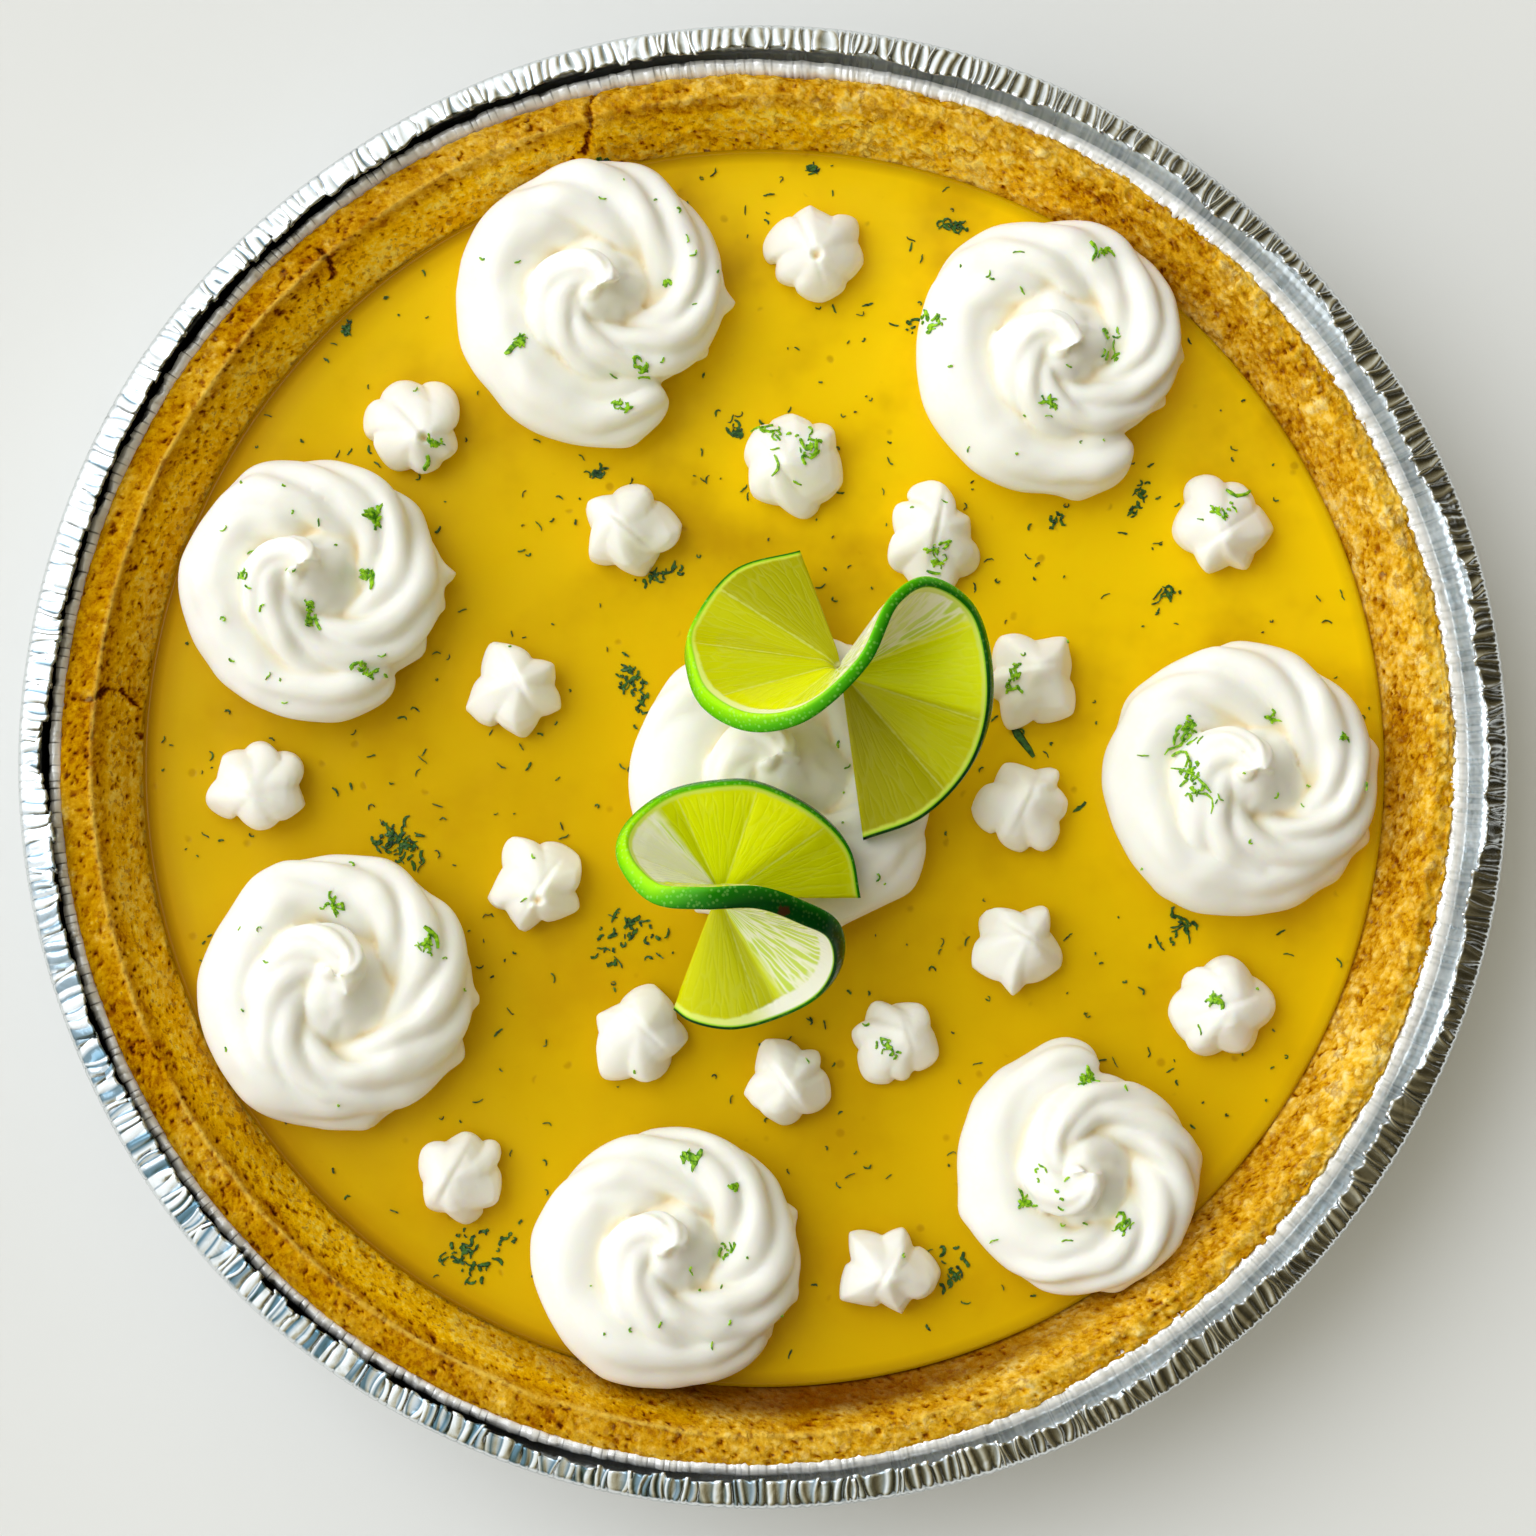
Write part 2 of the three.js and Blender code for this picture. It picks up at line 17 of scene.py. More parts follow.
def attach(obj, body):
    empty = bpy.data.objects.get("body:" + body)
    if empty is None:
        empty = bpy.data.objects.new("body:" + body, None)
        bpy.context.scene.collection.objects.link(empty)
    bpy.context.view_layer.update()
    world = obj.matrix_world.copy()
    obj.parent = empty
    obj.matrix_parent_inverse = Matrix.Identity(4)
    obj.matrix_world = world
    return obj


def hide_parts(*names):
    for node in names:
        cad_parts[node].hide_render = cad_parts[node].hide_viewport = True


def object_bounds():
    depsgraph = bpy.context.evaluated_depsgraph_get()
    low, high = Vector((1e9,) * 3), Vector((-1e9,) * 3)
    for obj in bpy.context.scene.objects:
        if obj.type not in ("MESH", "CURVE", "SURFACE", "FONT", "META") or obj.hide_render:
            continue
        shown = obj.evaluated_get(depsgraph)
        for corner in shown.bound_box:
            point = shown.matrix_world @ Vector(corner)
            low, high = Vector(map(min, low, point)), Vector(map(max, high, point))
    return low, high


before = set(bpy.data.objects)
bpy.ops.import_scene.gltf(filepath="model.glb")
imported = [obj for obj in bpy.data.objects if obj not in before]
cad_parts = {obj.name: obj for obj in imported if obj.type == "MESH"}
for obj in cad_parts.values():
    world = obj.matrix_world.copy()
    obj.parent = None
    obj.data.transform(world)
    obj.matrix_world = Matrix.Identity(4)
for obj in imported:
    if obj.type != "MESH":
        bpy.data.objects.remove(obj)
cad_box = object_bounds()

MM = 0.001

size = [(high - low) / MM for low, high in zip(*cad_box)]
print("CAD box in mm:", [round(v, 1) for v in size])

# %% [markdown]
# ## The camera
#
# The pie was seen from almost straight above, a little from the near side. The
# distance and the tilt were found from the tin's rim and the crust, which are
# circles at two heights. The camera comes first, so that all later work can be
# looked at from the right place.

# %% The camera above the pie
FRAME_PIXELS = 1536
FOCAL_PIXELS = 3880
SENSOR = 36  # mm
DISTANCE = 620  # mm from the point that it looks at
TILT = math.radians(4.5)
LOOK_HEIGHT = 33
TARGET_PIXEL = (763.5, 755.1)

bpy.ops.object.select_all(action="DESELECT")
bpy.ops.object.camera_add(
    location=(
        0,
        -DISTANCE * math.sin(TILT) * MM,
        (LOOK_HEIGHT + DISTANCE * math.cos(TILT)) * MM,
    ),
    rotation=(TILT, 0, 0),
)
camera = bpy.context.object
camera.name = "camera_above"
camera.data.sensor_width = SENSOR
camera.data.lens = FOCAL_PIXELS / FRAME_PIXELS * SENSOR
camera.data.shift_x = (FRAME_PIXELS / 2 - TARGET_PIXEL[0]) / FRAME_PIXELS
camera.data.shift_y = (TARGET_PIXEL[1] - FRAME_PIXELS / 2) / FRAME_PIXELS
bpy.context.scene.camera = camera
print("lens in mm:", round(camera.data.lens, 1))

# %% [markdown]
# ## Helpers for meshes
#
# Food has no straight edges, so most pieces start as a plain mesh and are then
# shaped point by point. Two kinds of noise do that: a smooth one for swelling
# and waves, and a cell one for crumbs. Both depend only on the place and a
# seed, so every run gives the same pie.

# %% Noise


def lattice(cells, seed):
    """A repeatable random number from 0 to 1 for each whole-numbered cell."""
    mixed = cells.astype(np.int64) @ np.array([73856093, 19349663, 83492791])
    mixed = (mixed + seed * 2654435761) & 0xFFFFFFFF
    mixed = ((mixed ^ (mixed >> 15)) * 2246822519) & 0xFFFFFFFF
    mixed = ((mixed ^ (mixed >> 13)) * 3266489917) & 0xFFFFFFFF
    return (mixed ^ (mixed >> 16)) / 0xFFFFFFFF


def noise(points, size, seed):
    """Smooth noise from -1 to 1 with features of about `size`."""
    scaled = points / size
    base = np.floor(scaled)
    t = scaled - base
    t = t * t * (3 - 2 * t)
    total = np.zeros(len(points))
    for corner in np.ndindex(2, 2, 2):
        weight = np.prod(np.where(corner, t, 1 - t), axis=1)
        total += weight * lattice(base + corner, seed)
    return 2 * total - 1


def layered(points, size, seed, layers=3):
    """Noise with finer and weaker layers on top."""
    parts = [noise(points, size / 2**k, seed + k) / 2**k for k in range(layers)]
    return sum(parts) / sum(1 / 2**k for k in range(layers))


def cells(points, size, seed):
    """Distance to the nearest and second nearest seed point, and the cell's own random number."""
    scaled = points / size
    base = np.floor(scaled)
    nearest = np.full(len(points), 9.0)
    second = np.full(len(points), 9.0)
    own = np.zeros(len(points))
    for shift in np.ndindex(3, 3, 3):
        cell = base + shift - 1
        place = np.stack([lattice(cell, seed + axis) for axis in range(3)], axis=1)
        gap = np.linalg.norm(cell + place - scaled, axis=1)
        closer = gap < nearest
        second = np.where(closer, nearest, np.minimum(second, gap))
        own = np.where(closer, lattice(cell, seed + 7), own)
        nearest = np.where(closer, gap, nearest)
    return nearest, second, own


def smooth(t):
    """Eases from 0 to 1."""
    t = np.clip(t, 0, 1)
    return t * t * (3 - 2 * t)


def mix(a, b, t):
    return a + (b - a) * t


# %% Making and finishing a piece


def start_clean():
    """Nothing selected, so that the next operator acts on the new piece alone."""
    if bpy.context.object and bpy.context.object.mode != "OBJECT":
        bpy.ops.object.mode_set(mode="OBJECT")
    bpy.ops.object.select_all(action="DESELECT")


def from_points(name, points, faces):
    """A piece from points in mm and faces, which may have three or four corners."""
    start_clean()
    mesh = bpy.data.meshes.new(name)
    mesh.from_pydata((np.asarray(points) * MM).tolist(), [], faces)
    piece = bpy.data.objects.new(name, mesh)
    bpy.context.scene.collection.objects.link(piece)
    bpy.context.view_layer.objects.active = piece
    piece.select_set(True)
    return piece


def read_points(piece):
    """The piece's points in mm."""
    flat = np.empty(len(piece.data.vertices) * 3)
    piece.data.vertices.foreach_get("co", flat)
    return flat.reshape(-1, 3) / MM


def write_points(piece, points):
    piece.data.vertices.foreach_set("co", (points * MM).ravel())
    piece.data.update()


def read_normals(piece):
    flat = np.empty(len(piece.data.vertices) * 3)
    piece.data.vertices.foreach_get("normal", flat)
    return flat.reshape(-1, 3)


def store(piece, name, values):
    """A number for each point, for the material to read."""
    layer = piece.data.attributes.new(name, "FLOAT", "POINT")
    layer.data.foreach_set("value", np.asarray(values, dtype=np.float32))


def modify(piece, kind, **settings):
    """Adds a modifier and applies it at once."""
    start_clean()
    bpy.context.view_layer.objects.active = piece
    piece.select_set(True)
    modifier = piece.modifiers.new(kind.title(), kind)
    for setting, value in settings.items():
        setattr(modifier, setting, value)
    bpy.ops.object.modifier_apply(modifier=modifier.name)


def face_outwards(piece):
    start_clean()
    bpy.context.view_layer.objects.active = piece
    piece.select_set(True)
    bpy.ops.object.mode_set(mode="EDIT")
    bpy.ops.mesh.select_all(action="SELECT")
    bpy.ops.mesh.normals_make_consistent(inside=False)
    bpy.ops.object.mode_set(mode="OBJECT")


def finish_piece(piece, material, nodes=(), flat=False):
    """Material, smooth shading, and what the piece is to the frame."""
    piece.data.materials.clear()
    piece.data.materials.append(material)
    piece.data.shade_flat() if flat else piece.data.shade_smooth()
    if nodes:
        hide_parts(*nodes)
    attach(piece, "root")
    piece.data.calc_loop_triangles()
    print(f"{piece.name}: {len(piece.data.loop_triangles)} triangles")


def turned(name, steps, profile):
    """A skin of rings round Z, made as by hand: a circle, then extrude and scale for each ring.

    `profile` lists radius and height from the pole at one end to the pole at the other.
    """
    start_clean()
    radius, height = profile[0]
    bpy.ops.mesh.primitive_circle_add(vertices=steps, radius=radius * MM)
    piece = bpy.context.object
    piece.name = name
    bpy.ops.object.mode_set(mode="EDIT")
    bpy.ops.mesh.select_all(action="SELECT")
    bpy.ops.transform.translate(value=(0, 0, height * MM))
    for next_radius, next_height in profile[1:]:
        ratio = next_radius / radius
        bpy.ops.mesh.extrude_region()
        bpy.ops.transform.resize(value=(ratio, ratio, 1), center_override=(0, 0, 0))
        bpy.ops.transform.translate(value=(0, 0, (next_height - height) * MM))
        radius, height = next_radius, next_height
    bpy.ops.mesh.extrude_region()
    bpy.ops.mesh.merge(type="CENTER")
    bpy.ops.mesh.select_all(action="DESELECT")
    bpy.ops.mesh.select_non_manifold(
        extend=False, use_wire=False, use_multi_face=False, use_non_contiguous=False, use_verts=False
    )
    bpy.ops.mesh.extrude_region()
    bpy.ops.mesh.merge(type="CENTER")
    bpy.ops.mesh.select_all(action="SELECT")
    bpy.ops.mesh.normals_make_consistent(inside=False)
    bpy.ops.object.mode_set(mode="OBJECT")
    return piece


def rows_and_angles(points, profile):
    """Which ring of the profile each point is on, and its angle; the two poles get row -1."""
    radius = np.hypot(points[:, 0], points[:, 1])
    angle = np.arctan2(points[:, 1], points[:, 0]) % (2 * math.pi)
    rings = np.asarray(profile)
    away = np.hypot(radius[:, None] - rings[None, :, 0], points[:, 2][:, None] - rings[None, :, 1])
    row = np.argmin(away, axis=1)
    return np.where(radius < 0.01, -1, row), angle


# %% [markdown]
# ## Helpers for materials
#
# Every colour below is written as the sRGB hex value that the eye sees, and one
# function turns it to the linear numbers that Blender wants. Another adds a node
# with its settings and its links, so that a material reads as a short list. The
# textures' scales are counts per metre: a scale of 500 gives features of 2 mm.

# %% Colours and nodes


def colour(hex_value):
    """Linear colour from sRGB hex such as "e3b600"."""
    parts = [int(hex_value[k : k + 2], 16) / 255 for k in (0, 2, 4)]
    linear = [c / 12.92 if c <= 0.04045 else ((c + 0.055) / 1.055) ** 2.4 for c in parts]
    return (*linear, 1.0)


def new_material(name):
    """An empty material with its output, shader and object coordinates."""
    material = bpy.data.materials.new(name)
    material.use_nodes = True
    tree = material.node_tree
    tree.nodes.clear()
    shader = tree.nodes.new("ShaderNodeBsdfPrincipled")
    output = tree.nodes.new("ShaderNodeOutputMaterial")
    tree.links.new(shader.outputs["BSDF"], output.inputs["Surface"])
    where = tree.nodes.new("ShaderNodeTexCoord").outputs["Object"]
    return material, tree, shader, where


def add(tree, kind, values=None, links=None, **settings):
    """Adds a node, sets its settings and input values, and links its inputs."""
    made = tree.nodes.new(kind)
    for setting, value in settings.items():
        setattr(made, setting, value)
    for socket, value in (values or {}).items():
        made.inputs[socket].default_value = value
    for socket, source in (links or {}).items():
        tree.links.new(source, made.inputs[socket])
    return made


def ramp(tree, source, stops):
    """A colour ramp from (position, hex) stops."""
    made = add(tree, "ShaderNodeValToRGB", links={"Fac": source})
    band = made.color_ramp
    while len(band.elements) < len(stops):
        band.elements.new(0.5)
    for element, (position, hex_value) in zip(band.elements, stops):
        element.position = position
        element.color = colour(hex_value)
    return made.outputs["Color"]


def blend(tree, factor, first, second):
    """Mixes two colours. Each may be a hex value or an output."""
    made = add(tree, "ShaderNodeMix", data_type="RGBA", links={"Factor": factor})
    for socket, source in ((made.inputs[6], first), (made.inputs[7], second)):
        if isinstance(source, str):
            socket.default_value = colour(source)
        else:
            tree.links.new(source, socket)
    return made.outputs[2]


def attribute(tree, name):
    return add(tree, "ShaderNodeAttribute", attribute_name=name).outputs["Fac"]


def spread(tree, source, low, high):
    """Stretches a value from low..high to 0..1, clamped and eased."""
    made = add(
        tree,
        "ShaderNodeMapRange",
        {1: low, 2: high},
        {"Value": source},
        interpolation_type="SMOOTHSTEP",
    )
    return made.outputs["Result"]


def calculate(tree, operation, *values):
    """One arithmetic step on two or three values or outputs."""
    made = add(tree, "ShaderNodeMath", operation=operation)
    for socket, source in zip(made.inputs, values):
        if isinstance(source, (int, float)):
            socket.default_value = source
        else:
            tree.links.new(source, socket)
    return made.outputs["Value"]


def times(tree, first, second):
    return calculate(tree, "MULTIPLY", first, second)


def minus(tree, first, second):
    return calculate(tree, "SUBTRACT", first, second)


def tint(tree, name, amount, base, hex_value):
    """The base colour, tinted where the attribute that was stored on the piece says so."""
    return blend(tree, times(tree, attribute(tree, name), amount), base, hex_value)


def noise_texture(tree, where, scale, detail, roughness=0.5):
    values = {"Scale": scale, "Detail": detail, "Roughness": roughness}
    return add(tree, "ShaderNodeTexNoise", values, {"Vector": where}).outputs["Fac"]


def cell_texture(tree, where, scale, randomness=1.0, feature="F1"):
    values = {"Scale": scale, "Randomness": randomness}
    made = add(tree, "ShaderNodeTexVoronoi", values, {"Vector": where}, feature=feature)
    return made.outputs["Distance"]


def complete(tree, shader, base, bump, settings):
    """Links the colour and a bump of (height, strength, metres), and sets the shader's constants."""
    tree.links.new(base, shader.inputs["Base Color"])
    if bump:
        height, strength, distance = bump
        made = add(tree, "ShaderNodeBump", {"Strength": strength, "Distance": distance}, {"Height": height})
        tree.links.new(made.outputs["Normal"], shader.inputs["Normal"])
    for name, value in settings.items():
        shader.inputs[name].default_value = value


# %% [markdown]
# ## The foil tin
#
# A disposable tin is thin aluminium foil pressed into a form. The foil has too
# much length at the rim, so it gathers in about five hundred small pleats, and
# the lip is folded back inwards over a flat ledge. Its free edge stays ragged.
# It could be a plain turned shape with a bump map, but the pleats throw the
# reflections about, so they are real folds here: the tin is turned ring by ring,
# with four points to a pleat, and the rings of the lip are then gathered.

# %% Foil


def foil_material():
    """Rolled aluminium foil: bright metal, a little soft, with fine press marks."""
    material, tree, shader, where = new_material("aluminium_foil")
    marks = noise_texture(tree, where, 900, 3)
    creases = cell_texture(tree, where, 160, feature="DISTANCE_TO_EDGE")
    height = calculate(tree, "MULTIPLY_ADD", spread(tree, creases, 0, 0.08), 0.6, marks)
    # Painted reflection: the flat ledge on the right is tinted blue-grey where it
    # would mirror the sky.
    clean = tint(tree, "ledge", 0.85, "eef2f4", "9cb6c4")
    # Painted reflection: the valleys between the open pleats on the right are darkened.
    clean = tint(tree, "valley", 0.65, clean, "40433a")
    # Painted reflection: thin teal lines in the grooves of the pressed pleats, dark stripes on the near
    # left, and a slight cool tint over the left lip.
    clean = tint(tree, "groove", 0.92, clean, "2c6074")
    # Painted reflection: the crumpled edge is made white and less metallic, standing in for its bright
    # reflections.
    clean = blend(tree, attribute(tree, "painted_bright_edge"), clean, "fdfdfb")
    bare = minus(tree, 1.0, times(tree, attribute(tree, "painted_bright_edge"), 0.85))
    tree.links.new(bare, shader.inputs["Metallic"])
    # Painted shade: the foil in the trough under the lip, and in the creases of its crumpled edge, is
    # darkened.
    trough_shaded = tint(tree, "painted_trough_shade", 0.97, clean, "0c1014")
    complete(tree, shader, trough_shaded, (height, 0.12, 0.0003), {"Roughness": 0.24})
    return material


FOIL = foil_material()

# %% Turn the tin
PLEATS = 500
POINTS_PER_PLEAT = 4
TIN_STEPS = PLEATS * POINTS_PER_PLEAT
RIM_RADIUS = 119.7
LEDGE_HEIGHT = 28.2
LIP_HEIGHT = 33.1
LIP_ROWS = 8
FLUTES = 132

base_rings = [(58, 0.5), (61, 0), (86, 0)]
wall_rings = [(88.4, 1.6), (100, 14.7), (110.4, 26.6)]
ledge_under = [(111.6, 27.2), (117.2, 27.3)]
rim_rings = [(118.3, 28.8), (119.2, 29.8), (RIM_RADIUS, 30.6), (119.4, 31.4)]
lip_top = [(mix(118.6, 115.0, k / (LIP_ROWS - 1)), LIP_HEIGHT) for k in range(LIP_ROWS)]
lip_under = [(mix(115.0, 118.3, k / 2), LIP_HEIGHT - 0.25) for k in range(3)]
rim_inside = [(118.6, 30.8), (117.9, 29.2), (117.2, 28.3)]
ledge_top = [(116.6, LEDGE_HEIGHT - 0.3), (115.1, 28.1), (114.5, 29.1), (113.6, 29.8), (112.8, 28.9)]
wall_inside = [(110.2, 27.2), (88.0, 2.3), (84, 0.35)]

tin_profile = (
    base_rings + wall_rings + ledge_under + rim_rings + lip_top
    + lip_under + rim_inside + ledge_top + wall_inside
)
tin = turned("pie_tin_foil", TIN_STEPS, tin_profile)
print("tin rings:", len(tin_profile))

# %% Gather the pleats
luck = np.random.default_rng(5)


def pressed_flat(angle):
    """1 on the left, where the lip was pressed flat, to 0 on the right, where folds stay open."""
    return smooth(0.5 - 0.75 * np.cos(angle))


def pleat_angles():
    """The angle of each step. Pleats are of uneven width, and pressed ones have narrow grooves."""
    widths = luck.uniform(0.55, 1.45, PLEATS)
    ends = np.concatenate([[0], np.cumsum(widths)]) / widths.sum() * 2 * math.pi
    open_steps, flat_steps = np.array([[0, 0.25, 0.5, 0.75]]), np.array([[0, 0.13, 0.5, 0.87]])
    share = mix(open_steps, flat_steps, pressed_flat(ends[:-1])[:, None])
    return (ends[:-1, None] + share * np.diff(ends)[:, None]).ravel()


def pleat_heights(angles):
    """From 0 in a groove to 1 on a crest, for each step."""
    flat = np.tile([0.0, 1.0, 1.0, 1.0], PLEATS)
    open_fold = np.tile([0.0, 0.5, 1.0, 0.5], PLEATS)
    open_depth, flat_depth = luck.uniform(0.75, 1.0, PLEATS), luck.uniform(0.3, 1.0, PLEATS)
    depth = mix(open_depth, flat_depth, pressed_flat(angles[::POINTS_PER_PLEAT]))
    depth = depth.repeat(POINTS_PER_PLEAT)
    uneven = luck.uniform(-0.05, 0.05, TIN_STEPS)
    return 1 - depth + mix(open_fold, flat, pressed_flat(angles)) * depth + uneven


def around(angle, waves):
    """A slow unevenness round the tin, from (count, size in mm, start) waves."""
    return sum(size * np.sin(count * angle + start) for count, size, start in waves)


def gather_tin():
    """Shapes the turned rings into pleats, a ragged lip, a frayed ledge and a fluted wall.

    It also stores where the foil gets painted shade and painted reflections, for the material.
    """
    points = read_points(tin)
    row, old_angle = rows_and_angles(points, tin_profile)
    step = np.rint(old_angle / (2 * math.pi) * TIN_STEPS).astype(int) % TIN_STEPS
    table = pleat_angles()
    angle = table[step]
    fold = pleat_heights(table)[step]
    jag = luck.uniform(-1, 1, PLEATS).repeat(POINTS_PER_PLEAT)[step]
    radius = np.hypot(points[:, 0], points[:, 1])
    height = points[:, 2].copy()

    first_lip = len(base_rings + wall_rings + ledge_under + rim_rings)
    last_lip = first_lip + LIP_ROWS - 1
    on_top = (row >= first_lip) & (row <= last_lip)
    under = (row > last_lip) & (row <= last_lip + 3)
    inward = np.where(on_top, (row - first_lip) / (LIP_ROWS - 1), 0)
    inward = np.where(under, 1 - (row - last_lip - 1) / 2, inward)

    # The lip is wide on the left and narrow on the right, with a ragged free edge.
    left = pressed_flat(angle)
    slow = around(angle, [(3, 0.3, 1), (7, 0.25, 2.2), (13, 0.2, 0.4), (29, 0.2, 5)])
    crushed = sum(
        size * np.exp(-((((angle - math.radians(at) + math.pi) % (2 * math.pi) - math.pi) / 0.06) ** 2))
        for at, size in CRUSHED_PLACES
    )
    slow += (1 - left) * around(angle, [(17, 0.35, 2), (41, 0.25, 0)]) + crushed
    free = mix(115.1, 114.9, left) + slow + 0.4 * jag - 0.3 * fold
    lip = on_top | under
    radius = np.where(lip, mix(118.6, free, inward), radius)
    wave = around(angle, [(2, 0.3, 0.5), (5, 0.25, 1.7), (11, 0.2, 3.1)])
    rise = mix(0.2, 0.35, left) * inward - 0.5 * crushed * inward
    rise -= mix(1.5, 0.9, left) * (1 - inward) ** 1.15
    # A pressed pleat is folded over part of the lip's width only.
    starts = luck.uniform(-0.7, 0.5, PLEATS).repeat(POINTS_PER_PLEAT)[step]
    ends = luck.uniform(0.6, 1.7, PLEATS).repeat(POINTS_PER_PLEAT)[step]
    partial = mix(1, smooth((inward - starts) / 0.2) * smooth((ends - inward) / 0.2), left)
    depth = mix(mix(0.9, 0.4, left), mix(1.0, 0.55, left), inward) * partial
    lean = inward * luck.uniform(-0.008, 0.008, PLEATS).repeat(POINTS_PER_PLEAT)[step]
    bow = inward * (1 - inward) * luck.uniform(-0.014, 0.014, PLEATS).repeat(POINTS_PER_PLEAT)[step]
    lean += bow
    angle = np.where(lip, angle + lean, angle)
    height = np.where(lip, height + rise + 0.6 * wave * inward + depth * (fold - 0.75), height)

    # The rim's outside and inside carry the same pleats, which fade on the ledge and the wall.
    rim_first = first_lip - len(rim_rings)
    on_rim = (row >= rim_first) & (row < first_lip)
    rim_share = np.clip((row - rim_first + 1) / len(rim_rings), 0, 1)
    bend = around(angle, [(2, 0.12, 2), (5, 0.16, 0.3), (9, 0.12, 4)]) - 0.42
    radius = np.where(on_rim, radius + rim_share * (bend + 0.25 * (fold - 0.6)), radius)
    height = np.where(row == first_lip - 1, height + 0.2 * left + 0.6 * (fold - 0.8), height)
    inside = (row > last_lip + 3) & (row <= last_lip + 6)
    radius = np.where(inside, radius + 0.3 * (fold - 0.6) - 0.3, radius)
    # Next to the crust the ledge is crumpled, and the crumpled edge stands up a little.
    ledge = (row > last_lip + 6) & (row <= last_lip + 11)
    crumple = np.choose(np.clip(row - last_lip - 7, 0, 4), [0.0, 0.25, 1.0, 1.0, 0.2])
    spokes = np.stack([angle * 112, radius * 0.25, np.zeros(len(angle))], axis=1)
    ragged = mix(0.3 * layered(spokes, 2.0, 81, 3), layered(points, 0.9, 81, 3), left)
    ragged = ragged + 0.2 * left * (fold - 0.6)
    raised = np.choose(np.clip(row - last_lip - 7, 0, 4), [0.0, 0.0, 0.9, 0.5, 0.0])
    raised = mix(raised, 0.9 * (crumple > 0.5), left)
    height = np.where(ledge, height + raised + crumple * (0.1 + 0.6 * ragged) + 0.1 * wave, height)
    radius = np.where(ledge, radius + crumple * mix(0.2, 1.0, left) * layered(points, 1.8, 85, 3), radius)
    # On the right the ledge reaches further in, where the crust stands back from the foil.
    radius = np.where(ledge & (row > last_lip + 7), radius - 1.45 * (1 - left), radius)
    # The foil's inner edge is frayed: every point of it ends somewhere else.
    fray = np.random.default_rng(93).uniform(0, 1, TIN_STEPS)[step]
    teeth = 0.1 + 1.2 * fray
    torn = 0.16 * layered(spokes, 2.0, 89, 2) * (1 - left)
    height = np.where(ledge & (row > last_lip + 8), height + torn, height)
    radius = np.where(row == last_lip + 11, radius - 1.4 * teeth * (1 - left), radius)
    height = np.where(row == last_lip + 11, height + 1.5 * (1 - left), height)

    # Broader flutes run down the sloping wall.
    wall = (row >= 3) & (row <= 5)
    flute = np.abs(np.sin(FLUTES / 2 * angle + 0.6 * np.sin(9 * angle)))
    flute_depth = np.choose(np.clip(row - 3, 0, 2), [0.15, 0.8, 0.6])
    radius = np.where(wall, radius + flute_depth * (flute - 0.7), radius)

    poles = row < 0
    x = np.where(poles, points[:, 0], radius * np.cos(angle))
    y = np.where(poles, points[:, 1], radius * np.sin(angle))
    write_points(tin, np.stack([x, y, height], axis=1))

    # Painted shade: the trough under the lip on the left, and the creases of the crumpled edge there.
    covered = np.choose(np.clip(row - last_lip - 6, 0, 5), [1.0, 1.0, 0.95, 0.1, 0.0, 0.0])
    covered = np.where((row > last_lip) & (row < last_lip + 12), covered, 0)
    crease = np.where(crumple * ledge > 0.5, 0.95 * smooth((0.5 - fold) / 0.25), 0)
    store(tin, "painted_trough_shade", np.maximum(covered, crease) * left)
    # On the near left the pleats stand open, so painted dark reflections fill more of the lip.
    lower = smooth(1.6 * np.cos(angle + math.radians(127)) - 0.6)
    lines = smooth((mix(0.72, 0.92, lower) - fold) / 0.4) * np.maximum(partial, lower)
    stripes = lower * smooth((fray - 0.5) / 0.2)
    groove = np.maximum((0.12 + 0.88 * lines) * np.maximum(left, lower), stripes)
    store(tin, "groove", np.where(on_top, groove, 0))
    # Painted reflection: the crumpled edge is marked to be white and less metallic, in streaks on the
    # right.
    streaked = mix(np.clip(0.6 + 0.6 * fray, 0, 1), 1, left)
    painted_bright_edge = np.where(ledge & (row > last_lip + 8), streaked, 0)
    right_edge_whitening = np.where(row == last_lip + 8, 0.3 + 0.5 * fray, 0.45)
    store(tin, "painted_bright_edge", np.maximum(painted_bright_edge, right_edge_whitening * (1 - left) * ledge))
    # Painted reflection: where the ledge on the right gets its blue-grey tint.
    store(tin, "ledge", np.where(ledge, (1 - left) * (1 - painted_bright_edge), 0))
    # Painted reflection: where the open pleats on the right get dark valleys.
    store(tin, "valley", np.where(on_top, (1 - left) * smooth((0.85 - fold) / 0.6), 0))


# direction in degrees and mm by which the lip's free edge was pushed out
CRUSHED_PLACES = [(14.6, 1.7), (41.4, 1.3), (-22, 1.2), (-38, 1.5), (-61, 0.9), (74, 0.8), (180, 1.5)]
gather_tin()
finish_piece(tin, FOIL, ["pie_tin"])

# %% [markdown]
# ## The crumb crust
#
# The crust is biscuit crumb and butter, pressed up the side of the tin and
# baked. It has no smooth face: crumbs of about a millimetre stand out, with pits
# between them. Pressing left a thin ridge round the top, with a painted highlight
# along its crest, and the right side is coarser and paler. A material alone would
# look painted on, so the crumbs are shaped into the mesh, and the same numbers are
# stored for the material, so that every pit and crack gets painted shade and every
# crumb top a painted highlight.

# %% The crust's section
CRUST_STEPS = 1440
CRUMB_ROWS = 46
CUSTARD_TOP = 22.0

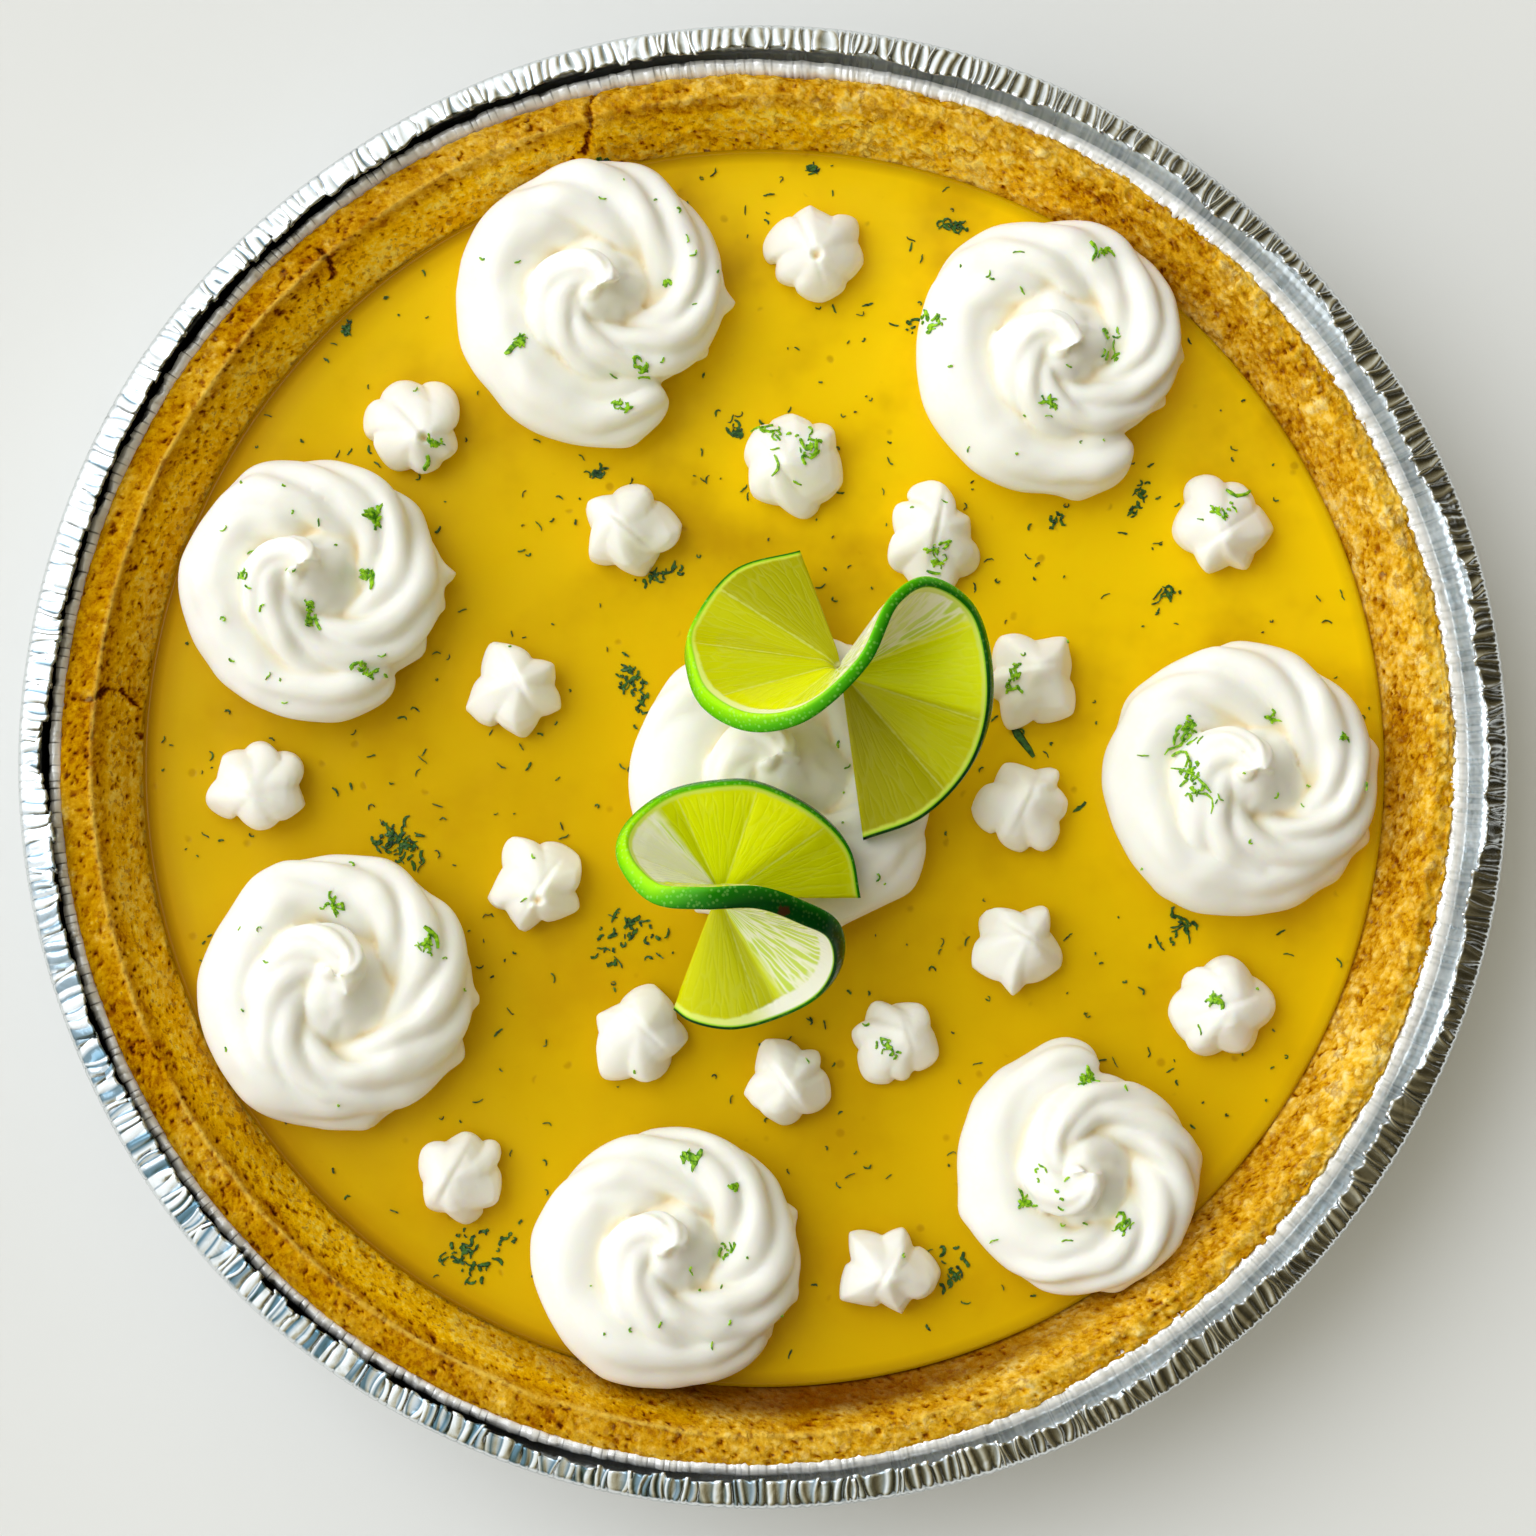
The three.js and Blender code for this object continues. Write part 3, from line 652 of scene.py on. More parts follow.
hidden_outside = [(84.6, 1.0), (86.4, 2.9), (109.2, 28.0), (110.8, 28.75)]
seen = [
    (112.6, 28.75), (113.1, 29.6), (112.8, 30.5), (111.6, 31.0), (109.8, 31.2), (108.3, 31.4),
    (107.7, 31.5), (107.0, 30.9), (105.6, 28.9), (103.9, 26.2), (102.4, 23.8), (101.3, 22.0), (101.0, 21.4),
]
hidden_inside = [(96, 17), (83, 6.9), (80, 6.1)]


def evenly(outline, count):
    """The outline again, as `count` points an even way apart."""
    outline = np.asarray(outline, dtype=float)
    run = np.concatenate([[0], np.cumsum(np.linalg.norm(np.diff(outline, axis=0), axis=1))])
    at = np.linspace(0, run[-1], count)
    return [tuple(p) for p in np.stack([np.interp(at, run, outline[:, k]) for k in (0, 1)], axis=1)]


crumb_rings = evenly(seen, CRUMB_ROWS)
crust_profile = hidden_outside + crumb_rings + hidden_inside
crust = turned("crumb_crust_baked", CRUST_STEPS, crust_profile)

# %% Crumbs, pits and cracks
# sizes and radius in mm
CRUMB_SIZE, LUMP_SIZE, PIT_SIZE = 1.05, 2.4, 1.15
RIDGE_RADIUS = 107.7
# Each crack is a chain of points in mm, seen from above.
CRACKS = [
    [(-109.5, 9.2), (-107.3, 9.0), (-105.4, 11.2), (-103.6, 11.0), (-101.6, 8.9)],
    [(-27.6, 109.6), (-28.4, 106.2), (-28.0, 102.8), (-29.2, 99.4)],
    [(-101.4, 4.4), (-99.9, 3.0), (-98.4, 2.4)],
    [(-72.4, 82.6), (-70.2, 80.8), (-69.6, 78.4)],
]


def away_from_chain(points, chain):
    """Distance in plan from each point to a chain of straight stretches."""
    nearest = np.full(len(points), 99.0)
    for start, end in zip(chain, chain[1:]):
        start, along = np.array(start), np.array(end) - np.array(start)
        share = np.clip((points[:, :2] - start) @ along / (along @ along), 0, 1)
        gap = np.linalg.norm(points[:, :2] - start - share[:, None] * along, axis=1)
        nearest = np.minimum(nearest, gap)
    return nearest


def press_crumbs():
    """Pushes crumbs, lumps, pits, cracks and the ridge out of the turned crust.

    `share` goes from 0 at the foil, over the top, to 1 at the custard.
    """
    points = read_points(crust)
    normals = read_normals(crust)
    row, angle = rows_and_angles(points, crust_profile)
    first = len(hidden_outside)
    share = (row - first) / (CRUMB_ROWS - 1)
    seen_part = (share >= 0) & (share <= 1)
    edge = smooth(share / 0.06) * smooth((1 - share) / 0.04) * seen_part
    right = smooth(0.5 + 0.75 * np.cos(angle - 0.35))

    stirred = points + 0.3 * np.stack([noise(points, 1.1, 13 + k) for k in range(3)], axis=1)
    grain, grain_next, own = cells(stirred, CRUMB_SIZE, 3)
    lump, lump_next, lump_own = cells(stirred + 0.3 * (stirred - points), LUMP_SIZE, 11)
    fine = layered(points, 0.9, 21, 2)
    slow = layered(points, 7, 31, 3)
    ragged = points + 0.45 * np.stack([noise(points, 0.8, 43 + k) for k in range(3)], axis=1)
    hole, _, hole_own = cells(ragged, PIT_SIZE, 41)
    crowd = layered(points, 5, 47, 2)
    low_down = smooth((share - 0.5) / 0.3)
    rare = mix(0.34, 0.88, right) - 0.5 * crowd - mix(0.08, 0.2, right) * low_down
    pit = smooth((0.1 + 0.42 * hole_own - hole) / 0.22) * smooth((hole_own - rare) / 0.25)
    crumbs = (grain_next - grain) * mix(0.28, 0.45, right)
    lumps = (lump_next - lump) * mix(0.15, 0.95, right)
    relief = crumbs + lumps + mix(0.2, 0.35, right) * fine + mix(0.25, 0.6, right) * slow
    relief -= 0.5 * pit + mix(0.3, 0.6, right)
    relief += 0.9 * smooth((share - 0.72) / 0.15) * layered(points, 4, 27, 2)
    crack = np.zeros(len(points))
    for chain in CRACKS:
        wander = 0.35 * noise(points, 1.1, 51)
        crack = np.maximum(crack, smooth((0.55 - away_from_chain(points, chain) - wander) / 0.5))
    relief -= 0.9 * crack

    # The pressed ridge: sharp on the left, lost among the lumps on the right.
    radius = np.hypot(points[:, 0], points[:, 1])
    off_ridge = radius - RIDGE_RADIUS - 0.3 * noise(points, 6, 17)
    ridge = np.exp(-((off_ridge / 0.33) ** 2)) * (1 - 0.9 * right)
    ridge *= smooth(0.75 + 0.9 * noise(points, 7, 19))
    relief += 0.45 * ridge
    push = normals * (relief * edge)[:, None]
    push[:, :2] *= 0.6
    # On the right the crust's outer edge stands back from the foil.
    back = right * seen_part * smooth((0.3 - share) / 0.25) * (1.9 + 0.5 * layered(points, 5, 29, 2))
    push[:, :2] -= points[:, :2] / np.maximum(radius, 1)[:, None] * back[:, None]
    write_points(crust, points + push)

    # Painted shade and highlight: the tone is darker in pits and cracks and paler on crumb tops, with
    # random crumb tone besides.
    tone = 0.42 + mix(0.5, 0.52, right) * (grain_next - grain) + 0.2 * fine + 0.2 * (own - 0.5)
    tone += 0.25 * slow + right * (0.5 * (lump_next - lump - 0.15) + 0.35 * (lump_own - 0.5))
    # Painted light: the lower slope is lighter, except on the right.
    not_right = 1 - smooth(1.1 * np.cos(angle))
    tone += 0.24 * smooth((share - 0.5) / 0.1) * not_right
    tone -= 0.6 * pit + 0.9 * crack
    store(crust, "tone", np.clip(tone, 0, 1))
    crag = smooth((layered(points, 3.2, 91, 3) - 0.25) / 0.3)
    crag *= smooth(share / 0.1) * smooth((0.55 - share) / 0.2)
    nearest_side = smooth(1 - np.abs(np.degrees(angle) - 275) / 48)
    crag += 0.6 * nearest_side * smooth((0.46 - share) / 0.1)
    pale = 0.62 * right + mix(0.3, 0.7, right) * slow + 0.3 * ridge + 0.7 * crag
    store(crust, "pale", np.clip(pale, 0, 1))
    # Painted highlight: the ridge's crest is tinted pale in the material.
    store(crust, "ridge", ridge)
    # Painted shade: next to the custard the crumb is darker, most of all at the near side.
    low = smooth((share - mix(0.62, 0.44, nearest_side)) / 0.3)
    store(crust, "low", low * mix(0.06, 1.0, nearest_side))
    # Painted light: elsewhere the slope is painted a lighter yellow, most of all far from the left.
    away_from_left = smooth(np.abs(angle - math.pi) / 0.9)
    painted_lit_slope = smooth((share - 0.42) / 0.14) * not_right * (1 - nearest_side)
    store(crust, "painted_lit_slope", painted_lit_slope * mix(0.4, 1.0, away_from_left))


press_crumbs()

# %% The baked crumb material
CRUMB_SHIFT = 1.8  # mm by which noise bends the crumbs' outlines


def crumb_material():
    """Baked biscuit crumb: matt, golden where butter browned it, pale where crumbs broke, with painted
    light and shade.
    """
    material, tree, shader, where = new_material("baked_biscuit_crumb")
    pale_parts, painted_lit_slope_share = attribute(tree, "pale"), attribute(tree, "painted_lit_slope")
    dust = noise_texture(tree, where, 1500, 4, 0.7)
    tone = calculate(tree, "MULTIPLY_ADD", dust, 0.9, minus(tree, attribute(tree, "tone"), 0.45))
    browned, painted_lit_slope, pale = (
        ramp(tree, tone, list(zip(stops, colours)))
        for stops, colours in (
            ((0.0, 0.2, 0.42, 0.72, 1.0), ("4c1c00", "8e4c00", "c28600", "dca404", "f0c848")),
            ((0.0, 0.2, 0.42, 0.72, 1.0), ("5c2400", "b06800", "eaae00", "ffca08", "ffe058")),
            ((0.0, 0.18, 0.4, 0.68, 1.0), ("844400", "c48408", "e8b014", "f8cc4c", "ffe698")),
        )
    )
    # Painted light: a lighter yellow on the slope.
    browned = blend(tree, painted_lit_slope_share, browned, painted_lit_slope)
    mixed = blend(tree, times(tree, pale_parts, minus(tree, 1.0, painted_lit_slope_share)), browned, pale)

    # crumbs of the coarse side: painted highlights on their tops and painted shade in the clefts between
    # them
    moved = noise_texture(tree, where, 800, 3, 0.7).node.outputs["Color"]
    shift = add(tree, "ShaderNodeVectorMath", {1: [CRUMB_SHIFT * MM] * 3}, {0: moved}, operation="MULTIPLY")
    bent = add(tree, "ShaderNodeVectorMath", links={0: where, 1: shift.outputs["Vector"]}, operation="ADD")
    inside = cell_texture(tree, bent.outputs["Vector"], 620, feature="DISTANCE_TO_EDGE")
    broken = spread(tree, noise_texture(tree, where, 330, 2), 0.46, 0.6)
    cleft = times(tree, times(tree, spread(tree, inside, 0.26, 0.0), pale_parts), broken)
    mixed = blend(tree, times(tree, cleft, 0.6), mixed, "9a5600")
    top = times(tree, spread(tree, inside, 0.16, 0.4), pale_parts)
    mixed = blend(tree, times(tree, top, 0.4), mixed, "fbe090")

    # the ridge's painted highlight, the toasted flecks, and painted shade on the crumb next to the custard
    mixed = tint(tree, "ridge", 0.7, mixed, "f0ca58")
    flecks = spread(tree, noise_texture(tree, where, 750, 3, 0.65), 0.54, 0.63)
    toasted = times(tree, flecks, minus(tree, 0.62, times(tree, pale_parts, 0.4)))
    mixed = blend(tree, toasted, mixed, "904400")
    # Painted shade: darker crumb next to the custard.
    mixed = tint(tree, "low", 0.9, mixed, "662a00")
    rough = minus(tree, noise_texture(tree, where, 1700, 4), cleft)
    settings = {"Roughness": 0.85, "Specular IOR Level": 0.01}
    complete(tree, shader, mixed, (rough, 0.5, 0.0004), settings)
    return material


finish_piece(crust, crumb_material(), ["crumb_crust"])

# %% [markdown]
# ## The lime custard
#
# The filling was poured and baked, so its surface is level, with a small rise
# where it clings to the crust and slow swells of less than a quarter of a
# millimetre, which the gloss shows. It holds a few dark specks and pinholes.

# %% Pour the custard
CUSTARD_STEPS = 360
custard_rings = (
    [(79.6, 6.5), (82.5, 7.2), (95.4, 17.0), (100.5, 21.3), (100.9, 22.1)]
    + [(r, CUSTARD_TOP) for r in np.linspace(100.2, 2.0, 60)]
)
custard = turned("lime_custard", CUSTARD_STEPS, custard_rings)


def settle_custard():
    points = read_points(custard)
    radius = np.hypot(points[:, 0], points[:, 1])
    top = points[:, 2] > CUSTARD_TOP - 0.2
    swell = 0.22 * layered(points, 26, 61, 2) + 0.05 * noise(points, 6, 71)
    cling = 0.12 * np.exp((radius - 101) / 1.6)
    points[:, 2] += np.where(top, swell * smooth((100.5 - radius) / 6) + cling - 0.05, 0)
    write_points(custard, points)
    # Painted shadow: the crust's shadow is painted on the custard's edge, more on the left,
    # and painted shade darkens a thin line where the custard meets the crust.
    left = smooth(0.5 - 0.6 * points[:, 0] / 100)
    store(custard, "edge", smooth((radius - mix(99, 94.5, left)) / 6) * mix(0.5, 1, left))
    store(custard, "rim", smooth((radius - 99.2) / 1.4) * mix(0.4, 1, left))
    # Painted light: the custard is lighter towards the far right.
    painted_light_gradient = (points[:, 0] * 0.5 + points[:, 1] * 0.8) / 100 + 0.1 * layered(points, 30, 75, 2)
    store(custard, "light", smooth(painted_light_gradient / 0.9 + 0.3))


settle_custard()

# %% The custard material


def custard_material():
    """Set egg and lime custard: smooth, glossy, saturated yellow, slightly see-through."""
    material, tree, shader, where = new_material("lime_custard")
    # Painted light: lighter towards the far right.
    base = blend(tree, attribute(tree, "light"), "d6ae00", "f4cc00")
    base = blend(tree, spread(tree, noise_texture(tree, where, 45, 4), 0.45, 0.8), base, "c89c00")
    near = spread(tree, cell_texture(tree, where, 210), 0.2, 0.08)
    dots = times(tree, near, spread(tree, noise_texture(tree, where, 190, 1), 0.56, 0.62))
    base = blend(tree, times(tree, dots, 0.5), base, "a87a00")
    # Painted shadow of the crust on the edge, and painted shade along the line where custard meets crust.
    base = tint(tree, "edge", 0.6, base, "b07c00")
    base = tint(tree, "rim", 0.75, base, "7c5000")
    height = minus(tree, noise_texture(tree, where, 420, 2), dots)
    settings = {
        "Roughness": 0.2,
        "Specular IOR Level": 0.14,
        "Subsurface Weight": 0.25,
        "Subsurface Radius": (1.0, 0.6, 0.05),
        "Subsurface Scale": 0.003,
    }
    complete(tree, shader, base, (height, 0.1, 0.0003), settings)
    return material


finish_piece(custard, custard_material(), ["lime_filling"])

# %% [markdown]
# ## The piped cream
#
# A swirl is one rope of cream from a star nozzle. It starts at a tail, runs
# round the outside with its ridges lying along it, and then turns in over the
# tail. There the nozzle turns faster than the cream, so the ridges cross the
# rope and sweep in to the peak. The rope is made here as a star section carried
# along a spiral. A voxel remesh joins it to its core, as soft cream joins
# itself, and smoothing gives the ridges their roundness.

# %% Whipped cream


def cream_material():
    """Whipped cream: white fat foam. Light goes in and comes back warm, and the hollows get a painted warm
    shade.
    """
    material, tree, shader, where = new_material("whipped_cream")
    bubbles = spread(tree, cell_texture(tree, where, 380), 0.16, 0.05)
    height = minus(tree, noise_texture(tree, where, 700, 3), bubbles)
    deep = spread(tree, attribute(tree, "hollow"), 0.0, 1.0)
    settings = {
        "Roughness": 0.42,
        "Specular IOR Level": 0.3,
        "Subsurface Weight": 0.5,
        "Subsurface Radius": (1.0, 0.75, 0.3),
        "Subsurface Scale": 0.0017,
    }
    complete(tree, shader, blend(tree, deep, "fcfaf0", "f6e4ba"), (height, 0.08, 0.0002), settings)
    return material


CREAM = cream_material()
CREAM_BASE = CUSTARD_TOP - 0.3  # cream sinks a little into the custard
SWIRL_VOXEL, STAR_VOXEL = 0.42, 0.34  # mm

# %% The rope
ROPE = dict(turn=14.4, radius=6.9, height=5.6, start=110, tuck_travel=155)
TUCKED = dict(turn=6.6, radius=5.6, height=10.6)
PEAK = dict(turn=0.3, radius=2.9, height=17.0, travel=230)
RIDGES = 6
RIDGE_DEPTH = 0.18
START_ROUNDING = 24  # degrees of travel over which the tail's end is rounded
TIP_HEIGHT = 21.0
ROPE_POINTS = 48
CORE = [(14.2, 0.0), (12.4, 5.0), (9.4, 9.4), (7.2, 12.0), (5.2, 14.2), (3.4, 15.9), (1.6, 17.0)]


def rope_at(swirl, travel):
    """Turn radius, height and thickness of the rope after so many degrees."""
    started = smooth(travel / ROPE["start"])
    tucked = smooth((travel - swirl["tuck"]) / ROPE["tuck_travel"])
    peaked = smooth((travel - swirl["tuck"] - 0.8 * ROPE["tuck_travel"]) / PEAK["travel"])
    turn = mix(ROPE["turn"] + swirl["reach"] * (1 - started), TUCKED["turn"], tucked)
    height = mix(ROPE["height"], TUCKED["height"], tucked)
    thick = mix(ROPE["radius"] * mix(0.86, 1, started), TUCKED["radius"], tucked)
    now = (turn, height, thick)
    return tuple(mix(value, PEAK[name], peaked) for value, name in zip(now, ("turn", "height", "radius")))


def ridge_turn(swirl, travel):
    """How far the ridges have turned round the rope, in degrees."""
    crossing = np.clip(travel - 0.5 * swirl["tuck"], 0, None)
    slower = np.clip(travel - 1.2 * swirl["tuck"], 0, None)
    return 0.15 * travel + 1.15 * crossing - 0.35 * slower


def tube(sections, tip=None):
    """Points and faces of a closed skin over sections of equal count."""
    rows, count = len(sections), len(sections[0])
    if tip is None:
        tip = sections[-1].mean(0)
    points = np.concatenate(sections + [[sections[0].mean(0)], [tip]])
    faces = []
    for row in range(rows - 1):
        for k in range(count):
            a, b = row * count + k, row * count + (k + 1) % count
            faces.append((a, b, b + count, a + count))
    first, last, end = rows * count, rows * count + 1, (rows - 1) * count
    for k in range(count):
        faces.append((first, (k + 1) % count, k))
        faces.append((last, end + k, end + (k + 1) % count))
    return points, faces


def rope_tube(swirl):
    """The whole rope, from its tail to the peak."""
    whole = swirl["tuck"] + 0.8 * ROPE["tuck_travel"] + PEAK["travel"]
    round_it = np.linspace(0, 2 * math.pi, ROPE_POINTS, endpoint=False)
    lean = np.array([*swirl["lean"], 0.0]) / swirl["size"]
    sections = []
    for travel in np.arange(-10.0, whole, 3.0):
        turn, height, thick = rope_at(swirl, max(travel, 0))
        begun = np.clip((travel + 11) / START_ROUNDING, 0, 1)
        thick *= mix(0.3, 1, math.sqrt(1 - (1 - begun) ** 2))
        angle = math.radians(swirl["tail"] - swirl["wind"] * travel)
        out = np.array([math.cos(angle), math.sin(angle), 0.0])
        phase = RIDGES / 2 * (round_it - math.radians(ridge_turn(swirl, travel)))
        phase += 0.35 * np.sin(round_it + 0.03 * travel + swirl["x"])
        crossed = smooth((travel - 0.45 * swirl["tuck"]) / 60)
        depth = RIDGE_DEPTH * mix(mix(1.0, 0.5, smooth(travel / 40)), 1, crossed)
        depth *= mix(1, 0.55, smooth(-math.cos(angle))) * (1 + 0.25 * math.sin(0.11 * travel + swirl["y"]))
        ridge = 0.45 * np.abs(np.sin(phase)) ** 3 + 0.55 * (1 - np.abs(np.cos(phase))) ** 1.3
        spread_out = thick * (1.05 - depth * ridge)
        section = out * (turn + spread_out * np.cos(round_it))[:, None]
        section[:, 2] = height + spread_out * np.sin(round_it)
        section += lean * (np.clip(section[:, 2], 0, None) / TIP_HEIGHT)[:, None] ** 2
        sections.append(section)
    tip = np.array([0, 0, TIP_HEIGHT]) + lean
    return tube(sections, tip)


def core_tube(swirl):
    """The cream under the peak, which the rope lies on."""
    round_it = np.linspace(0, 2 * math.pi, ROPE_POINTS, endpoint=False)
    lean = np.array([*swirl["lean"], 0.0]) / swirl["size"]
    sections = []
    for radius, height in CORE:
        # the ridges of the first cream go on round the core, up to the peak
        followed = round_it + swirl["wind"] * 2.6 * height / 17 + swirl["x"]
        out = radius * (1 - 0.16 * (1 - np.abs(np.cos(2.5 * followed))) ** 1.3)
        level = np.full(ROPE_POINTS, height)
        section = np.stack([out * np.cos(round_it), out * np.sin(round_it), level], axis=1)
        sections.append(section + lean * (height / TIP_HEIGHT) ** 2)
    return tube(sections)


def join_tubes(tubes):
    """Several skins as one list of points and faces."""
    points, faces, shift = [], [], 0
    for more_points, more_faces in tubes:
        points.append(more_points)
        faces += [tuple(v + shift for v in face) for face in more_faces]
        shift += len(more_points)
    return np.concatenate(points), faces


def soften(piece, voxel, rounds, sink):
    """Joins what overlaps, rounds it as soft cream, and cuts it level at the base."""
    modify(piece, "REMESH", mode="VOXEL", voxel_size=voxel * MM, adaptivity=0)
    modify(piece, "SMOOTH", factor=0.5, iterations=rounds)
    points = read_points(piece)
    points[:, 2] = np.maximum(points[:, 2], sink)
    write_points(piece, points)


def hollowness(piece, rounds, full):
    """From 0 to 1: how far each point lies below the average of its surroundings."""
    points, normals = read_points(piece), read_normals(piece)
    ends = np.empty(len(piece.data.edges) * 2, dtype=np.int64)
    piece.data.edges.foreach_get("vertices", ends)
    a, b = ends.reshape(-1, 2).T
    count = np.bincount(a, minlength=len(points)) + np.bincount(b, minlength=len(points))
    around_it = points.copy()
    for _ in range(rounds):
        total = np.stack([
            np.bincount(a, around_it[b, k], len(points)) + np.bincount(b, around_it[a, k], len(points))
            for k in range(3)
        ], axis=1)
        around_it = total / count[:, None]
    return np.clip(np.sum((around_it - points) * normals, axis=1) / full, 0, 1)


def near_custard(piece):
    """The lowest 5 mm of cream is tinted with the custard's colour, a painted bounce light."""
    return 0.45 * smooth((CREAM_BASE + 5 - read_points(piece)[:, 2]) / 5)


def pipe_swirl(name, swirl, node, squash=1.0):
    """One swirl: rope and core joined, swelled unevenly, and given the teeth at its foot."""
    points, faces = join_tubes([rope_tube(swirl), core_tube(swirl)])
    points[:, 2] *= squash
    points *= swirl["size"]
    seed = int(abs(swirl["x"] * 10 + swirl["y"]))
    points += 0.9 * np.stack([noise(points, 11, seed + k) for k in range(3)], axis=1)
    points += 0.35 * np.stack([noise(points, 4.5, seed + k) for k in range(3, 6)], axis=1)
    points += [swirl["x"], swirl["y"], CREAM_BASE]
    # Where ridges of the rope run out on the custard, they leave pointed teeth.
    away = points[:, :2] - [swirl["x"], swirl["y"]]
    far = np.linalg.norm(away, axis=1)
    heading = np.degrees(np.arctan2(away[:, 1], away[:, 0]))
    low = smooth((CREAM_BASE + 7 - points[:, 2]) / 5) * smooth((far - 15) / 4)
    for toward, reach, wide in swirl["teeth"]:
        off = (heading - toward + 180) % 360 - 180
        points[:, :2] += away / far[:, None] * (1.7 * reach * np.exp(-((off / wide) ** 2)) * low)[:, None]
    piece = from_points(name, points, faces)
    soften(piece, SWIRL_VOXEL, 7, CREAM_BASE)
    # Painted shade: warm tint in the hollows, and painted bounce light near the custard.
    store(piece, "hollow", np.maximum(hollowness(piece, 110, 1.7), near_custard(piece)))
    finish_piece(piece, CREAM, [node])
    return piece


# %% Seven swirls and the middle one
# x, y: middle; tail: direction of the tail in degrees; wind: 1 is clockwise;
# tuck: degrees before the rope turns in; reach: how far the tail sticks out;
# teeth: direction in degrees, length in mm and half width in degrees of each tooth.
SWIRLS = [
    dict(x=-28.2, y=75.6, tail=-66, wind=1, tuck=285, reach=4.0, size=1.02, lean=(3.1, -0.2),
         teeth=[(-3, 2.2, 5), (-26, 1.2, 6), (-75, 1.0, 6), (100, 0.8, 8)]),
    dict(x=45.8, y=67.0, tail=-60, wind=1, tuck=285, reach=4.0, size=1.01, lean=(4.6, -2.7),
         teeth=[(-4, 1.8, 5), (-24, 1.3, 6), (-78, 1.0, 6), (55, 0.7, 9)]),
    dict(x=-72.9, y=27.6, tail=-56, wind=1, tuck=300, reach=2.6, size=0.98, lean=(-0.4, 2.0),
         teeth=[(6, 1.9, 4), (-8, 1.3, 4), (-30, 0.8, 7), (55, -0.8, 10)]),
    dict(x=76.8, y=-4.0, tail=-28, wind=1, tuck=345, reach=0.6, size=1.03, lean=(0.3, 1.9),
         teeth=[(14, 0.9, 6), (-24, 1.0, 6), (-45, 0.7, 7), (140, 0.7, 12)]),
    dict(x=-68.9, y=-37.6, tail=-74, wind=1, tuck=345, reach=1.6, size=1.02, lean=(1.8, 3.0),
         teeth=[(-4, 1.6, 5), (-27, 1.0, 6), (-76, 1.0, 5), (40, -0.9, 12)]),
    dict(x=-15.5, y=-80.3, tail=-44, wind=1, tuck=320, reach=1.4, size=0.98, lean=(1.2, 3.2),
         teeth=[(20, 1.0, 5), (-17, 1.7, 5), (-38, 1.1, 6), (75, 0.7, 9)]),
    dict(x=50.0, y=-66.9, tail=90, wind=-1, tuck=285, reach=3.8, size=0.89, lean=(1.4, 0.5),
         teeth=[(10, 1.2, 7), (-35, 1.0, 7), (-70, 0.9, 8), (200, 0.8, 8)]),
]
MIDDLE = dict(x=3.6, y=-4.2, tail=-24, wind=1, tuck=340, reach=2.0, size=1.14, lean=(-2.0, 4.0),
              teeth=[(-40, 1.2, 8), (-75, 1.0, 6), (-110, 1.4, 6), (-125, 1.0, 4)])
MIDDLE_PRESSED = 0.8

cream_pieces = [
    pipe_swirl(f"cream_swirl_{k + 1}_piped", swirl, f"cream_swirl_{k + 1}")
    for k, swirl in enumerate(SWIRLS)
]
cream_pieces.append(pipe_swirl("cream_centre_piped", MIDDLE, "cream_centre", MIDDLE_PRESSED))

# %% [markdown]
# ## The small stars
#
# A star is one short press of the same nozzle, held straight down and pulled
# away: five or six soft lobes that close in to a tip. No two are alike: the
# lobes' shapes and the tip of each are drawn from its own seed, and its stretch
# is listed with it. A few have a small air hole at the top, where the cream tore.

# %% Press the stars
# x, y, size, lobes, turn in degrees, stretch, direction of the stretch, air hole
STARS = [
    (8.7, 83.2, 1.00, 6, 10, 1.00, 0, 1),
    (-57.1, 54.1, 1.00, 6, 25, 1.00, 0, 1),
    (74.6, 38.2, 1.00, 6, 40, 1.00, 0, 0),
    (-81.6, -4.5, 0.98, 6, 5, 1.00, 0, 0),
    (73.5, -40.5, 1.00, 6, 50, 1.05, 20, 0),
    (-48.4, -67.0, 1.00, 6, 15, 1.00, 0, 0),
    (19.8, -81.8, 1.00, 5, 33, 1.00, 0, 0),
    (5.5, 48.0, 1.04, 6, 20, 1.00, 0, 0),
    (-21.9, 37.7, 1.00, 5, 48, 1.00, 0, 0),
    (27.4, 35.7, 0.98, 6, 0, 1.18, -60, 0),
    (-39.9, 10.9, 1.00, 5, 18, 1.00, 0, 0),
    (43.2, 12.8, 0.98, 5, 12, 1.12, 55, 0),
    (-37.7, -20.4, 1.04, 5, 22, 1.00, 0, 1),
    (42.6, -7.9, 1.00, 6, 35, 1.00, 0, 0),
    (40.7, -30.6, 1.00, 5, 24, 1.00, 0, 0),
    (-19.9, -44.6, 1.00, 5, 44, 1.00, 0, 0),
    (3.9, -52.6, 0.94, 5, 18, 1.00, 0, 0),
    (21.2, -46.2, 0.84, 6, 28, 1.00, 0, 0),
]
STAR_RADIUS = 8.3
STAR_HEIGHT = 9.5
# share of the radius and of the height, from the base to the tip
STAR_LEVELS = [
    (0.86, 0.0), (0.99, 0.1), (1.03, 0.26), (0.97, 0.44), (0.82, 0.6),
    (0.61, 0.74), (0.39, 0.86), (0.2, 0.95),
]


